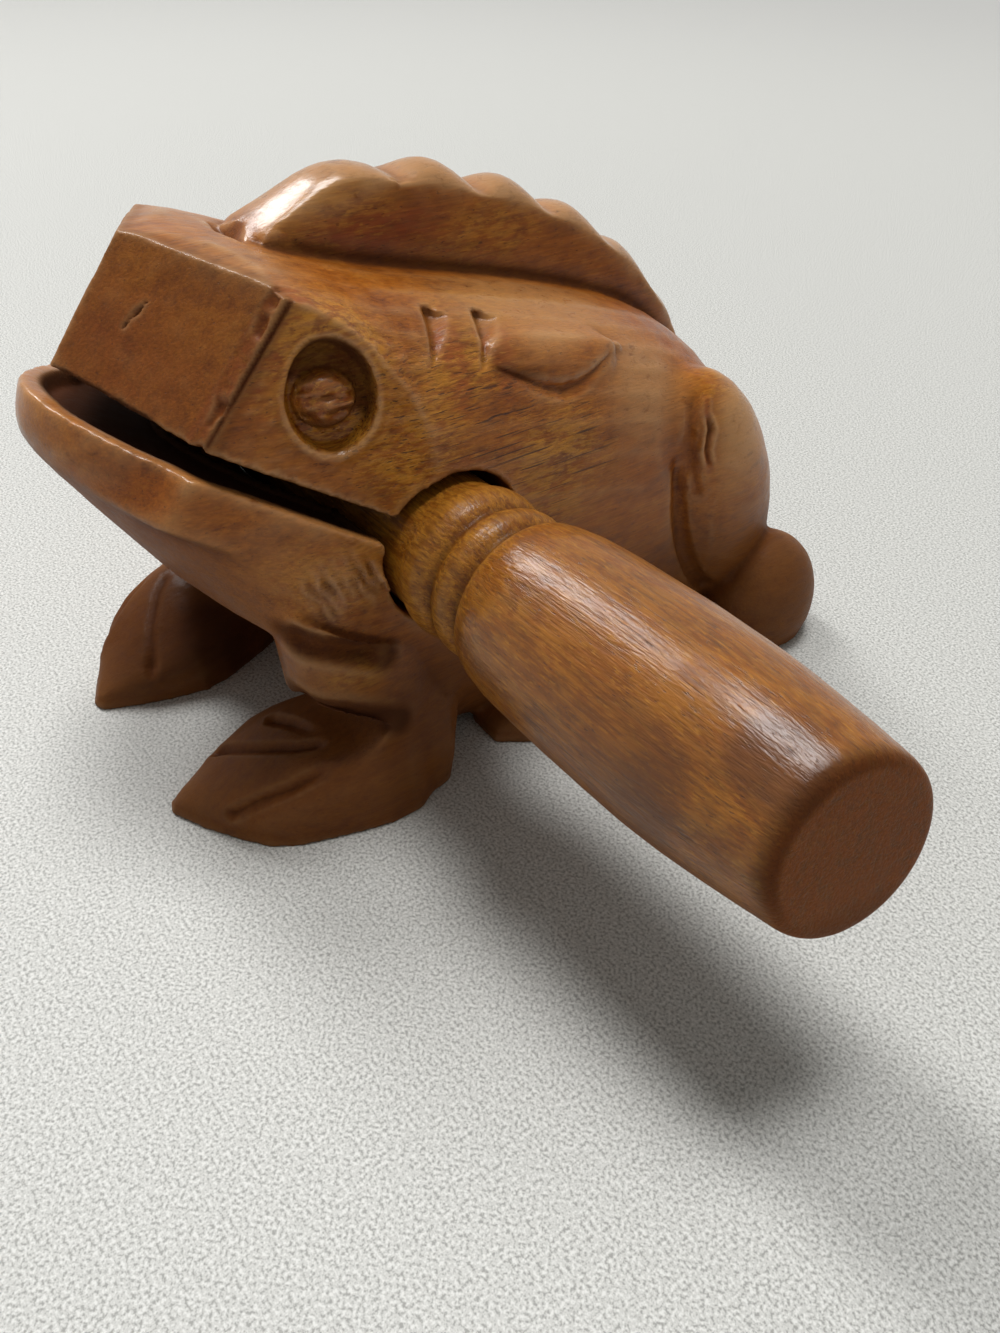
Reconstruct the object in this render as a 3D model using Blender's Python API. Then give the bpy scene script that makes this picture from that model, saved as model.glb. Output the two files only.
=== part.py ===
"""Frog guiro: a frog carved from one block of wood, with a scalloped crest to rasp and its turned striker.

Metres, +Z up. The frog faces -Y and its left side is +X. The origin is on the flat underside, in the plane
that divides the frog's left from its right.
"""

import math
from typing import NamedTuple

import bmesh
import bpy
from mathutils import Matrix, Vector

# Block: the body as it is roughed out, before the details are carved.
BODY_WIDTH = 0.0490
HAUNCH_WIDTH = 0.0510
HEAD_TOP = 0.0635
HEAD_TOP_END = -0.0370
NAPE_TOP = 0.0580
NAPE_Y = -0.0150
BACK_TOP = 0.0503
BACK_Y = 0.0150
LOIN_TOP = 0.0440
LOIN_Y = 0.0300
TAIL_TOP = 0.0240
TAIL_Y = 0.0485
TAIL_WIDTH = 0.0210
TAIL_ROUND = 0.0040
THROAT_Y = -0.0270
THROAT_HEIGHT = 0.0220
CHEST_Y = -0.0180
BLOCK_OVERCUT = 0.0040

# Cross sections: 2 is an ellipse, and larger values fill its corners.
HEAD_SQUARENESS = 3.2
HAUNCH_SQUARENESS = 2.8
TAIL_SQUARENESS = 2.2
LIP_SQUARENESS = 1.85
ARM_SQUARENESS = 2.3
FOOT_SQUARENESS = 3.6

# Head: planes cut square to the mouth.
SNOUT_TIP_Y = -0.0470
SNOUT_TIP_HEIGHT = 0.0522
SNOUT_SWEEP = math.radians(26.7)
SNOUT_LEAN = math.radians(8.2)
SNOUT_WIDTH = 0.0340
BROW_SLOPE = math.radians(9.0)
BROW_RISE = 0.0002
CHEEK_FLARE = math.radians(18.0)
CHEEK_TILT = math.radians(3.5)

# Mouth, cross bore and the chamber behind them.
MOUTH_PITCH = math.radians(30.0)
MOUTH_GAP = 0.0029
BORE_Y = -0.0153
CHAMBER_LENGTH = 0.0480
CHAMBER_WIDTH = 0.0300
CHAMBER_HEIGHT = 0.0220

# Lower jaw, a bow-shaped lip that falls back to the throat.
LIP_REACH = 0.0016
LIP_FOOT_REACH = 0.0010
CHIN_SETBACK = 0.0072
LIP_WIDTH = 0.0484
LIP_LENGTH = 0.0330
LIP_THICKNESS = 0.0040
JAW_DEPTH = 0.0150
JAW_FOOT_WIDTH = 0.0480
JAW_FOOT_SETBACK = 0.0175

# Eyes.
EYE_FORWARD = -0.0270
EYE_HEIGHT = 0.0512
EYE_RING_WIDTH = 0.0080
EYE_RING_HEIGHT = 0.0092
EYE_RING_GROOVE = 0.0018
EYE_RING_DEPTH = 0.0015
EYE_DOME_WIDTH = 0.0066
EYE_DOME_HEIGHT = 0.0078
EYE_DOME_RISE = 0.0012

# Chip cuts: two behind each brow, narrowing downwards, and one across the front of the crest.
GOUGE_Y = (-0.0116, -0.0052)
GOUGE_TOP = 0.0018
GOUGE_END = 0.0068
GOUGE_SLANT = 0.0042
GOUGE_WIDTH = 0.0034
GOUGE_DEPTH = 0.0020
GOUGE_LEAN = math.radians(25.0)
CHIP_TIP = 0.1
STOP_CUT_LENGTH = 0.0100
STOP_CUT_WIDTH = 0.0026
STOP_CUT_DEPTH = 0.0014

# The crease under each shoulder.
CREASE_FRONT_Y = -0.0080
CREASE_FRONT_DROP = 0.0060
CREASE_LOW_Y = 0.0010
CREASE_LOW_DROP = 0.0080
CREASE_REAR_Y = 0.0110
CREASE_REAR_DROP = 0.0042
CREASE_WIDTH = 0.0026
CREASE_DEPTH = 0.0010
CREASE_LEAN = math.radians(20.0)

# Crest.
CREST_FOOT_WIDTH = 0.0086
CREST_EDGE_WIDTH = 0.0074
CREST_START_Y = -0.0268
CREST_FIRST_LENGTH = 0.0193
CREST_PITCH = 0.0112
CREST_END_Y = 0.0480
CREST_HEIGHT = 0.0088
CREST_RISE = 0.0022
CREST_FIRST_RISE = 0.0030
CREST_FIRST_SKEW = 1.4
CREST_EDGE_DROP = 0.0007
CREST_ARCH = math.radians(70.0)
CREST_END_HEIGHT = 0.0020

# Front legs and feet.
FOOT_TIP_X = 0.0115
FOOT_TIP_Y = -0.0485
FOOT_HEEL_X = 0.0240
FOOT_HEEL_Y = -0.0150
FOOT_WIDTH = 0.0206
FOOT_HEIGHT = 0.0118
ARM_WIDTH = 0.0136
ARM_DEPTH = 0.0190
ARM_FOOT_X = 0.0230
ARM_FOOT_Y = -0.0245
ARM_TOP_X = 0.0180
ARM_TOP_Y = -0.0260
ARM_HEIGHT = 0.0240
WRIST_Y = -0.0258
WRIST_HEIGHT = 0.0128
WRIST_RISE = math.radians(28.0)
WRIST_FALL = math.radians(35.0)
TOE_CUT_WIDTH = 0.0024
TOE_CUT_DEPTH = 0.0013

# Every foot is a low dome whose widest level lies this far under the ground.
FOOT_SINK = 0.0010

# Half widths and heights along each foot, as shares of its largest.
FOOT_WIDTHS = ((0, 0.08), (0.1, 0.42), (0.38, 0.98), (0.65, 0.95), (1, 0.5))
FOOT_HEIGHTS = ((0, 0.25), (0.1, 0.42), (0.65, 1.0), (1, 1.0))
HIND_FOOT_WIDTHS = ((0, 0.4), (0.12, 0.9), (0.5, 1.0), (0.8, 1.0), (1, 0.6))
HIND_FOOT_HEIGHTS = ((0, 0.4), (0.2, 0.7), (1, 1.0))

# Cuts between the toes: the start and the end of each, as shares along the foot and of its half width.
TOE_CUTS = (((0.16, 0.66), (0.42, -0.14)), ((0.24, -0.96), (0.54, -0.60)))

# Hind legs and feet.
THIGH_X = 0.0205
THIGH_Y = 0.0305
THIGH_HEIGHT = 0.0235
THIGH_WIDTH = 0.0160
THIGH_DEPTH = 0.0215
THIGH_LENGTH = 0.0410
THIGH_LEAN = math.radians(24.0)
THIGH_GROOVE_WIDTH = 0.0026
THIGH_GROOVE_SHARE = 0.84
THIGH_GROOVE_TOP = math.radians(30.0)
THIGH_GROOVE_END = math.radians(140.0)
HEEL_X = 0.0270
HEEL_Y = 0.0400
HEEL_HEIGHT = 0.0160
HEEL_SINK = 0.0064
HEEL_WIDTH = 0.0156
HEEL_LENGTH = 0.0190
HIND_TOE_X = 0.0225
HIND_TOE_Y = -0.0090
HIND_FOOT_WIDTH = 0.0140
HIND_FOOT_HEIGHT = 0.0075

# Striker.
STRIKER_SHAFT_DIAMETER = 0.0168
STRIKER_HANDLE_DIAMETER = 0.0188
STRIKER_HANDLE_LENGTH = 0.0420
STRIKER_END_DIAMETER = 0.0182
STRIKER_SWELL_LENGTH = 0.0290
STRIKER_INSERTED = 0.0500
STRIKER_COLLAR_LENGTH = 0.0085
STRIKER_RING_LENGTH = 0.0036
STRIKER_GROOVE = 0.0012
STRIKER_END_ROUND = 0.0030
BORE_CLEARANCE = 0.0007
SEAT_GAP = 0.0003

WOOD_COLOUR = (0.24, 0.095, 0.035, 1.0)
STICK_COLOUR = (0.30, 0.135, 0.045, 1.0)

RING_POINTS = 40
SPHERE_POINTS = 24
BOW_STEPS = 24
TAIL_STEPS = 5
SMOOTH_ANGLE = math.radians(24.0)
SIDES = (1, -1)


def clear_scene():
    for old in list(bpy.data.objects):
        bpy.data.objects.remove(old)


def wood(name, colour):
    """Satin-varnished wood."""
    material = bpy.data.materials.new(name)
    material.use_nodes = True
    shader = material.node_tree.nodes["Principled BSDF"]
    shader.inputs["Base Color"].default_value = colour
    shader.inputs["Roughness"].default_value = 0.42
    shader.inputs["Metallic"].default_value = 0.0
    return material


def curve_through(points):
    """A smooth function through (position, value) points that doesn't overshoot between them."""
    spans = [(b[1] - a[1]) / (b[0] - a[0]) for a, b in zip(points, points[1:])]
    slopes = [spans[0]]
    for before, after in zip(spans, spans[1:]):
        same_way = before * after > 0
        slopes.append(2 * before * after / (before + after) if same_way else 0.0)
    slopes.append(spans[-1])

    def value(position):
        position = min(max(position, points[0][0]), points[-1][0])
        i = 0
        while i < len(spans) - 1 and position > points[i + 1][0]:
            i += 1
        length = points[i + 1][0] - points[i][0]
        t = (position - points[i][0]) / length
        start = (1 + 2 * t) * (1 - t) ** 2 * points[i][1]
        end = t * t * (3 - 2 * t) * points[i + 1][1]
        lead = t * (1 - t) ** 2 * length * slopes[i]
        trail = t * t * (t - 1) * length * slopes[i + 1]
        return start + end + lead + trail

    return value


def oval(half_a, half_b, squareness=2.0, count=RING_POINTS):
    """Points of a superellipse: squareness 2 is an ellipse, and larger values fill its corners."""
    points = []
    for k in range(count):
        angle = 2 * math.pi * k / count
        a, b = math.cos(angle), math.sin(angle)
        points.append(
            (
                half_a * math.copysign(abs(a) ** (2 / squareness), a),
                half_b * math.copysign(abs(b) ** (2 / squareness), b),
            )
        )
    return points


def solid(name, bm):
    """An object from a closed bmesh, with its faces turned outward."""
    bmesh.ops.recalc_face_normals(bm, faces=bm.faces)
    mesh = bpy.data.meshes.new(name)
    bm.to_mesh(mesh)
    bm.free()
    mesh.shade_smooth()
    mesh.set_sharp_from_angle(angle=SMOOTH_ANGLE)
    obj = bpy.data.objects.new(name, mesh)
    bpy.context.scene.collection.objects.link(obj)
    return obj


def helper(obj, frame=None):
    """Marks an object that only joins or cuts another one, and places it in its frame."""
    obj.hide_render = True
    obj.display_type = "WIRE"
    if frame is not None:
        obj.matrix_world = frame
    return obj


def loft(name, rings, closed=False):
    """A solid through rings of points, capped at both ends or, if closed, run round to its first ring."""
    bm = bmesh.new()
    loops = [[bm.verts.new(point) for point in ring] for ring in rings]
    pairs = list(zip(loops, loops[1:]))
    if closed:
        pairs.append((loops[-1], loops[0]))
    for here, there in pairs:
        for k in range(len(here)):
            after = (k + 1) % len(here)
            bm.faces.new((here[k], here[after], there[after], there[k]))
    if not closed:
        bm.faces.new(loops[0])
        bm.faces.new(loops[-1])
    return solid(name, bm)


def ellipsoid(name, centre, size, turn=None):
    bm = bmesh.new()
    bmesh.ops.create_uvsphere(bm, u_segments=SPHERE_POINTS, v_segments=SPHERE_POINTS // 2, radius=0.5)
    bmesh.ops.scale(bm, vec=size, verts=bm.verts)
    frame = Matrix.Translation(centre)
    if turn is not None:
        frame = frame @ turn
    return helper(solid(name, bm), frame)


def box(name, low, high, frame=None):
    bm = bmesh.new()
    bmesh.ops.create_cube(bm, size=1.0)
    low, high = Vector(low), Vector(high)
    bmesh.ops.scale(bm, vec=high - low, verts=bm.verts)
    bmesh.ops.translate(bm, vec=(low + high) / 2, verts=bm.verts)
    return helper(solid(name, bm), frame)


def beyond_plane(name, point, normal, reach):
    """A cube that fills the far side of a plane, to cut a flat face."""
    turn = normal.to_track_quat("Z", "Y").to_matrix().to_4x4()
    frame = Matrix.Translation(point) @ turn
    return box(name, (-reach, -reach, 0), (reach, reach, 2 * reach), frame)


def combine(target, tools, operation):
    """Joins or cuts with each tool in turn. The exact solver loses the body in so long a chain."""
    for tool in tools:
        modifier = target.modifiers.new(tool.name, "BOOLEAN")
        modifier.operation = operation
        modifier.solver = "MANIFOLD"
        modifier.object = tool


def side_name(side):
    return "left" if side > 0 else "right"


# The body's lines along Y.
FRONT_Y = SNOUT_TIP_Y - BLOCK_OVERCUT
HALF_WIDTH = curve_through(
    [
        (FRONT_Y, BODY_WIDTH / 2),
        (NAPE_Y, BODY_WIDTH / 2),
        (BACK_Y, HAUNCH_WIDTH / 2),
        (LOIN_Y, HAUNCH_WIDTH / 2),
        (TAIL_Y, TAIL_WIDTH / 2),
    ]
)
BACK_LINE = curve_through(
    [
        (FRONT_Y, HEAD_TOP),
        (HEAD_TOP_END, HEAD_TOP),
        (NAPE_Y, NAPE_TOP),
        (BACK_Y, BACK_TOP),
        (LOIN_Y, LOIN_TOP),
        (TAIL_Y, TAIL_TOP),
    ]
)
BELLY_LINE = curve_through(
    [
        (FRONT_Y, SNOUT_TIP_HEIGHT - JAW_DEPTH / 2),
        (THROAT_Y, THROAT_HEIGHT),
        (CHEST_Y, -BLOCK_OVERCUT),
        (LOIN_Y, -BLOCK_OVERCUT),
        (TAIL_Y, BLOCK_OVERCUT),
    ]
)
SQUARENESS = curve_through(
    [
        (FRONT_Y, HEAD_SQUARENESS),
        (NAPE_Y, HEAD_SQUARENESS),
        (LOIN_Y, HAUNCH_SQUARENESS),
        (TAIL_Y, TAIL_SQUARENESS),
    ]
)

# The mouth's frame: its Y runs back along the mouth, and its Z is square to it.
MOUTH = Matrix.Translation((0, SNOUT_TIP_Y, SNOUT_TIP_HEIGHT)) @ Matrix.Rotation(-MOUTH_PITCH, 4, "X")
BORE_RUN = (BORE_Y - SNOUT_TIP_Y + MOUTH_GAP / 2 * math.sin(MOUTH_PITCH)) / math.cos(MOUTH_PITCH)
BORE_CENTRE = MOUTH @ Vector((0, BORE_RUN, -MOUTH_GAP / 2))


def block():
    """The roughed-out body, from the front of the head to the tail."""
    rings = []
    steps = 30
    for k in range(steps + 1):
        y = FRONT_Y + (TAIL_Y - FRONT_Y) * k / steps
        low, high = BELLY_LINE(y), BACK_LINE(y)
        outline = oval(HALF_WIDTH(y), (high - low) / 2, SQUARENESS(y))
        rings.append([(x, y, z + (low + high) / 2) for x, z in outline])
    middle = Vector((0, TAIL_Y, (BELLY_LINE(TAIL_Y) + BACK_LINE(TAIL_Y)) / 2))
    tail = [Vector(point) for point in rings[-1]]
    for k in range(1, TAIL_STEPS):
        angle = math.pi / 2 * k / TAIL_STEPS
        back = Vector((0, TAIL_ROUND * math.sin(angle), 0))
        rings.append([middle + back + (point - middle) * math.cos(angle) for point in tail])
    return loft("frog_body", rings)


def cheek_plane(side):
    """A point and the outward normal of the flat cheek that carries the eye."""
    half = SNOUT_WIDTH / 2
    point = MOUTH @ Vector((side * half, half * math.tan(SNOUT_SWEEP), 0))
    outward = Vector((side * math.cos(CHEEK_FLARE), -math.sin(CHEEK_FLARE), math.sin(CHEEK_TILT)))
    return point, (MOUTH.to_3x3() @ outward).normalized()


def head_planes():
    """The two snout planes that meet at the nose, the two cheeks, and the head's top falling to each brow."""
    cutters = []
    for side in SIDES:
        across = Vector((side * math.cos(SNOUT_SWEEP), math.sin(SNOUT_SWEEP), 0))
        ridge = Vector((0, math.sin(SNOUT_LEAN), math.cos(SNOUT_LEAN)))
        outward = MOUTH.to_3x3() @ (across.cross(ridge) * side)
        nose = MOUTH.translation
        cutters.append(beyond_plane(f"snout_plane_{side_name(side)}", nose, outward, BODY_WIDTH))
        point, normal = cheek_plane(side)
        cutters.append(beyond_plane(f"cheek_plane_{side_name(side)}", point, normal, BODY_WIDTH))
        ridge_top = Vector((0, 0, HEAD_TOP + BROW_RISE))
        fall = Vector((side * math.sin(BROW_SLOPE), 0, math.cos(BROW_SLOPE)))
        cutters.append(beyond_plane(f"brow_plane_{side_name(side)}", ridge_top, fall, BODY_WIDTH))
    return cutters


def jaw_bow(level):
    """The lower jaw's outline at a level of the mouth's frame: a bow from one side round to the other."""
    lip_foot = -MOUTH_GAP - LIP_THICKNESS
    foot = -MOUTH_GAP - JAW_DEPTH
    setback = curve_through(
        [
            (foot, JAW_FOOT_SETBACK),
            ((lip_foot + foot) / 2, CHIN_SETBACK),
            (lip_foot, -LIP_FOOT_REACH),
            (-MOUTH_GAP, -LIP_REACH),
        ]
    )
    lip = LIP_WIDTH / 2
    half = curve_through([(foot, JAW_FOOT_WIDTH / 2), (lip_foot, lip), (-MOUTH_GAP, lip)])
    outline = oval(half(level), LIP_LENGTH - setback(level), LIP_SQUARENESS, 2 * BOW_STEPS)
    return [Vector((x, LIP_LENGTH - v, level)) for x, v in outline[: BOW_STEPS + 1]]


def jaw():
    """The lower jaw: a rounded lip shaped like a bow, falling back to the throat."""
    root = BORE_RUN + STRIKER_SHAFT_DIAMETER / 2
    top = -MOUTH_GAP / 2
    foot = -MOUTH_GAP - JAW_DEPTH
    rings = []
    steps = 9
    for k in range(steps + 1):
        level = top + (foot - top) * k / steps
        bow = jaw_bow(level)
        ends = [Vector((bow[-1].x, root, level)), Vector((bow[0].x, root, level))]
        rings.append(bow + ends)
    return helper(loft("jaw", rings), MOUTH)


def arm(side):
    """A front leg, from its heel up to a ledge that runs along the jaw's lower edge."""
    x = curve_through([(-BLOCK_OVERCUT, ARM_FOOT_X), (ARM_HEIGHT, ARM_TOP_X)])
    y = curve_through([(-BLOCK_OVERCUT, ARM_FOOT_Y), (ARM_HEIGHT, ARM_TOP_Y)])
    rings = []
    steps = 6
    for k in range(steps + 1):
        t = k / steps
        z = -BLOCK_OVERCUT + (ARM_HEIGHT + BLOCK_OVERCUT) * t
        outline = oval(ARM_WIDTH / 2, ARM_DEPTH / 2, ARM_SQUARENESS, 28)
        fall = t * math.tan(MOUTH_PITCH)
        rings.append([(side * (x(z) + a), y(z) + b, z - b * fall) for a, b in outline])
    return helper(loft(f"arm_{side_name(side)}", rings))


class Foot(NamedTuple):
    """A foot that lies along a line on the ground, with half widths and heights along it."""

    toe: Vector
    heel: Vector
    half_width: object
    height: object

    def ring(self, t, side, count):
        along = (self.heel - self.toe).normalized()
        across = Vector((-along.y, along.x))
        place = self.toe.lerp(self.heel, t)
        points = []
        for a, z in oval(self.half_width(t), self.height(t), FOOT_SQUARENESS, count):
            point = place + across * a
            points.append((side * point.x, point.y, z - FOOT_SINK))
        return points

    def surface(self, t, share, side):
        """A point on top of the foot, a share of the way along it and of its half width across it."""
        along = (self.heel - self.toe).normalized()
        across = Vector((-along.y, along.x))
        point = self.toe.lerp(self.heel, t) + across * share * self.half_width(t)
        fall = (1 - abs(share) ** FOOT_SQUARENESS) ** (1 / FOOT_SQUARENESS)
        return Vector((side * point.x, point.y, self.height(t) * fall - FOOT_SINK))

    def solid(self, name, side, steps=10, count=24):
        rings = [self.ring(k / steps, side, count) for k in range(steps + 1)]
        return helper(loft(f"{name}_{side_name(side)}", rings))


def shares_of(largest, shares):
    return curve_through([(t, share * largest) for t, share in shares])


def front_foot():
    return Foot(
        Vector((FOOT_TIP_X, FOOT_TIP_Y)),
        Vector((FOOT_HEEL_X, FOOT_HEEL_Y)),
        shares_of(FOOT_WIDTH / 2, FOOT_WIDTHS),
        shares_of(FOOT_HEIGHT, FOOT_HEIGHTS),
    )


def hind_foot():
    return Foot(
        Vector((HIND_TOE_X, HIND_TOE_Y)),
        Vector((HEEL_X, HEEL_Y + HEEL_LENGTH / 4)),
        shares_of(HIND_FOOT_WIDTH / 2, HIND_FOOT_WIDTHS),
        shares_of(HIND_FOOT_HEIGHT, HIND_FOOT_HEIGHTS),
    )


def thigh(side):
    lean = Matrix.Rotation(THIGH_LEAN, 4, "X")
    size = (THIGH_WIDTH, THIGH_DEPTH, THIGH_LENGTH)
    return ellipsoid(f"thigh_{side_name(side)}", (side * THIGH_X, THIGH_Y, THIGH_HEIGHT), size, lean)


def thigh_groove(side):
    """The deep line between the flank and the front of the thigh."""
    lean = Matrix.Rotation(THIGH_LEAN, 3, "X")
    steps = 10
    path = []
    for k in range(steps + 1):
        angle = THIGH_GROOVE_TOP + (THIGH_GROOVE_END - THIGH_GROOVE_TOP) * k / steps
        edge = Vector((0, -THIGH_DEPTH / 2 * math.sin(angle), THIGH_LENGTH / 2 * math.cos(angle)))
        place = Vector((0, THIGH_Y, THIGH_HEIGHT)) + lean @ edge * THIGH_GROOVE_SHARE
        path.append(side_point(place.y, BACK_LINE(place.y) - place.z, side))
    return groove(f"thigh_groove_{side_name(side)}", path, THIGH_GROOVE_WIDTH)


def heel(side):
    """A round heel, sunk into the ground far enough to stand on a wide foot."""
    size = (HEEL_WIDTH, HEEL_LENGTH, HEEL_HEIGHT + HEEL_SINK)
    middle = (HEEL_HEIGHT - HEEL_SINK) / 2
    return ellipsoid(f"heel_{side_name(side)}", (side * HEEL_X, HEEL_Y, middle), size)


def notch_stations():
    """Places along Y of the crest's notches: a long first scallop, then equal ones along the back's curve."""
    first = CREST_START_Y + CREST_FIRST_LENGTH
    steps = 600
    stride = (CREST_END_Y - first) / steps
    run = [0.0]
    for k in range(steps):
        y = first + stride * k
        run.append(run[-1] + math.hypot(stride, BACK_LINE(y + stride) - BACK_LINE(y)))
    count = round(run[-1] / CREST_PITCH)
    stations = [CREST_START_Y]
    for k in range(count + 1):
        reached = next(i for i, length in enumerate(run) if length >= run[-1] * k / count)
        stations.append(first + stride * reached)
    return stations


def crest():
    """The scalloped ridge that the striker rasps, sunk into the back."""
    notches = notch_stations()
    height = curve_through(
        [
            (notches[1], CREST_HEIGHT),
            (notches[2], CREST_HEIGHT),
            (notches[-1], CREST_END_HEIGHT),
        ]
    )
    tops = [BACK_LINE(CREST_START_Y)] + [BACK_LINE(y) + height(y) for y in notches[1:]]
    per_scallop = 8
    profile = []
    for k, (y0, y1, z0, z1) in enumerate(zip(notches, notches[1:], tops, tops[1:])):
        swell, skew = (CREST_FIRST_RISE, CREST_FIRST_SKEW) if k == 0 else (CREST_RISE, 1.0)
        for j in range(per_scallop):
            t = j / per_scallop
            profile.append((y0 + (y1 - y0) * t, z0 + (z1 - z0) * t, swell * math.sin(math.pi * t**skew)))
    profile.append((notches[-1], tops[-1], 0.0))
    return helper(loft("crest", [crest_ring(*station) for station in profile]))


def crest_ring(y, chord, rise):
    """The crest's section: an arch over two shoulders, which lie just under the line from notch to notch."""
    foot, edge = CREST_FOOT_WIDTH / 2, CREST_EDGE_WIDTH / 2
    arch = rise + CREST_EDGE_DROP
    half_ring = [(foot, BACK_LINE(y) - BLOCK_OVERCUT)]
    steps = 4
    for k in range(steps):
        angle = CREST_ARCH * (1 - k / steps)
        x = edge * math.sin(angle) / math.sin(CREST_ARCH)
        fall = arch * (1 - math.cos(angle)) / (1 - math.cos(CREST_ARCH))
        half_ring.append((x, chord + rise - fall))
    ring = half_ring + [(0.0, chord + rise)] + [(-x, z) for x, z in reversed(half_ring)]
    return [(x, y, z) for x, z in ring]


def eye_frame(side):
    """The eye's place on the cheek, with Z pointing out of it."""
    point, normal = cheek_plane(side)
    rest = normal.y * (EYE_FORWARD - point.y) + normal.z * (EYE_HEIGHT - point.z)
    place = Vector((point.x - rest / normal.x, EYE_FORWARD, EYE_HEIGHT))
    return Matrix.Translation(place) @ normal.to_track_quat("Z", "Y").to_matrix().to_4x4()


def eye_dome(side):
    size = (EYE_DOME_WIDTH, EYE_DOME_HEIGHT, 2 * EYE_DOME_RISE)
    dome = ellipsoid(f"eye_dome_{side_name(side)}", (0, 0, 0), size)
    dome.matrix_world = eye_frame(side)
    return dome


def eye_groove(side):
    rings = []
    steps = 28
    for k in range(steps):
        angle = 2 * math.pi * k / steps
        out = Vector((math.cos(angle), math.sin(angle), 0))
        centre = Vector((EYE_RING_WIDTH / 2 * out.x, EYE_RING_HEIGHT / 2 * out.y, 0))
        tube = oval(EYE_RING_GROOVE / 2, EYE_RING_DEPTH, count=8)
        rings.append([centre + out * a + Vector((0, 0, b)) for a, b in tube])
    return helper(loft(f"eye_groove_{side_name(side)}", rings, closed=True), eye_frame(side))


def wrist_notch():
    """The deep notch, cut straight across, that parts the forearms from the tops of the feet."""
    reach = FOOT_HEEL_Y - FOOT_TIP_Y
    profile = [
        (WRIST_Y, WRIST_HEIGHT),
        (WRIST_Y - reach, WRIST_HEIGHT + reach * math.tan(WRIST_RISE)),
        (WRIST_Y - reach, WRIST_HEIGHT - reach * math.tan(WRIST_FALL)),
    ]
    reach_x = ARM_FOOT_X + ARM_WIDTH
    rings = [[(x, y, z) for y, z in profile] for x in (-reach_x, reach_x)]
    return helper(loft("wrist_notch", rings))


def groove(name, path, width):
    """A round groove cut along points on a surface."""
    rings = []
    for k, point in enumerate(path):
        ahead = path[min(k + 1, len(path) - 1)] - path[max(k - 1, 0)]
        turn = ahead.to_track_quat("Z", "Y").to_matrix()
        rings.append([point + turn @ Vector((a, b, 0)) for a, b in oval(width / 2, width / 2, count=8)])
    return helper(loft(name, rings))


def toe_cuts(foot, side):
    cutters = []
    steps = 4
    for number, (start, end) in enumerate(TOE_CUTS):
        spots = []
        for k in range(steps + 1):
            t = k / steps
            size = 1 - (1 - CHIP_TIP) * t
            along = start[0] + (end[0] - start[0]) * t
            across = start[1] + (end[1] - start[1]) * t
            place = foot.surface(along, across, side)
            spots.append((place, Vector((0, 0, 1)), TOE_CUT_WIDTH * size, TOE_CUT_DEPTH * size))
        cutters.append(chip_cut(f"toe_cut_{number}_{side_name(side)}", spots))
    return cutters


def side_point(y, drop, side):
    """The point of the body's side at this place along it and this far below the back's line."""
    low, high = BELLY_LINE(y), BACK_LINE(y)
    z = high - drop
    rise = abs(z - (low + high) / 2) / ((high - low) / 2)
    x = HALF_WIDTH(y) * (1 - rise ** SQUARENESS(y)) ** (1 / SQUARENESS(y))
    point, normal = cheek_plane(1)
    cheek_x = point.x - (normal.y * (y - point.y) + normal.z * (z - point.z)) / normal.x
    return Vector((side * min(x, cheek_x), y, z))


def chip_cut(name, spots):
    """A V-shaped cut along spots: each is a surface point, its outward way, and the cut's width and depth."""
    along = spots[-1][0] - spots[0][0]
    rings = []
    for point, outward, width, depth in spots:
        # The cutter stands as far out of the surface as it goes in, so its rim is twice the cut's width.
        across = along.cross(outward).normalized() * width
        rim = point + outward * depth
        rings.append([point - outward * depth, rim + across, rim - across])
    return helper(loft(name, rings))


def brow_gouges(side):
    cutters = []
    steps = 4
    for number, y in enumerate(GOUGE_Y):
        spots = []
        for k in range(steps + 1):
            t = k / steps
            share = 1 - (1 - CHIP_TIP) * t
            drop = GOUGE_TOP + (GOUGE_END - GOUGE_TOP) * t
            place = side_point(y - GOUGE_SLANT * t, drop, side)
            outward = Vector((side * math.cos(GOUGE_LEAN), 0, math.sin(GOUGE_LEAN)))
            spots.append((place, outward, GOUGE_WIDTH * share, GOUGE_DEPTH * share))
        cutters.append(chip_cut(f"brow_gouge_{number}_{side_name(side)}", spots))
    return cutters


def stop_cut():
    """The chip cut that ends the crest in front."""
    up = Vector((0, 0, 1))
    half = STOP_CUT_LENGTH / 2
    y = CREST_START_Y
    spots = []
    for share in (-1.0, 0.0, 1.0):
        size = 1 - (1 - CHIP_TIP) * abs(share)
        place = Vector((half * share, y, BACK_LINE(y)))
        spots.append((place, up, STOP_CUT_WIDTH * size, STOP_CUT_DEPTH * size))
    return chip_cut("stop_cut", spots)


def shoulder_crease(side):
    """The curved line under the shoulder, lowest at its middle."""
    drop = curve_through(
        [
            (CREASE_FRONT_Y, CREASE_FRONT_DROP),
            (CREASE_LOW_Y, CREASE_LOW_DROP),
            (CREASE_REAR_Y, CREASE_REAR_DROP),
        ]
    )
    steps = 8
    outward = Vector((side * math.cos(CREASE_LEAN), 0, math.sin(CREASE_LEAN)))
    spots = []
    for k in range(steps + 1):
        t = k / steps
        y = CREASE_FRONT_Y + (CREASE_REAR_Y - CREASE_FRONT_Y) * t
        size = CHIP_TIP + (1 - CHIP_TIP) * math.sin(math.pi * t)
        spots.append((side_point(y, drop(y), side), outward, CREASE_WIDTH * size, CREASE_DEPTH * size))
    return chip_cut(f"shoulder_crease_{side_name(side)}", spots)


def mouth_slot():
    low = (-BODY_WIDTH, -LIP_LENGTH, -MOUTH_GAP)
    return box("mouth_slot", low, (BODY_WIDTH, BORE_RUN, 0), MOUTH)


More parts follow.
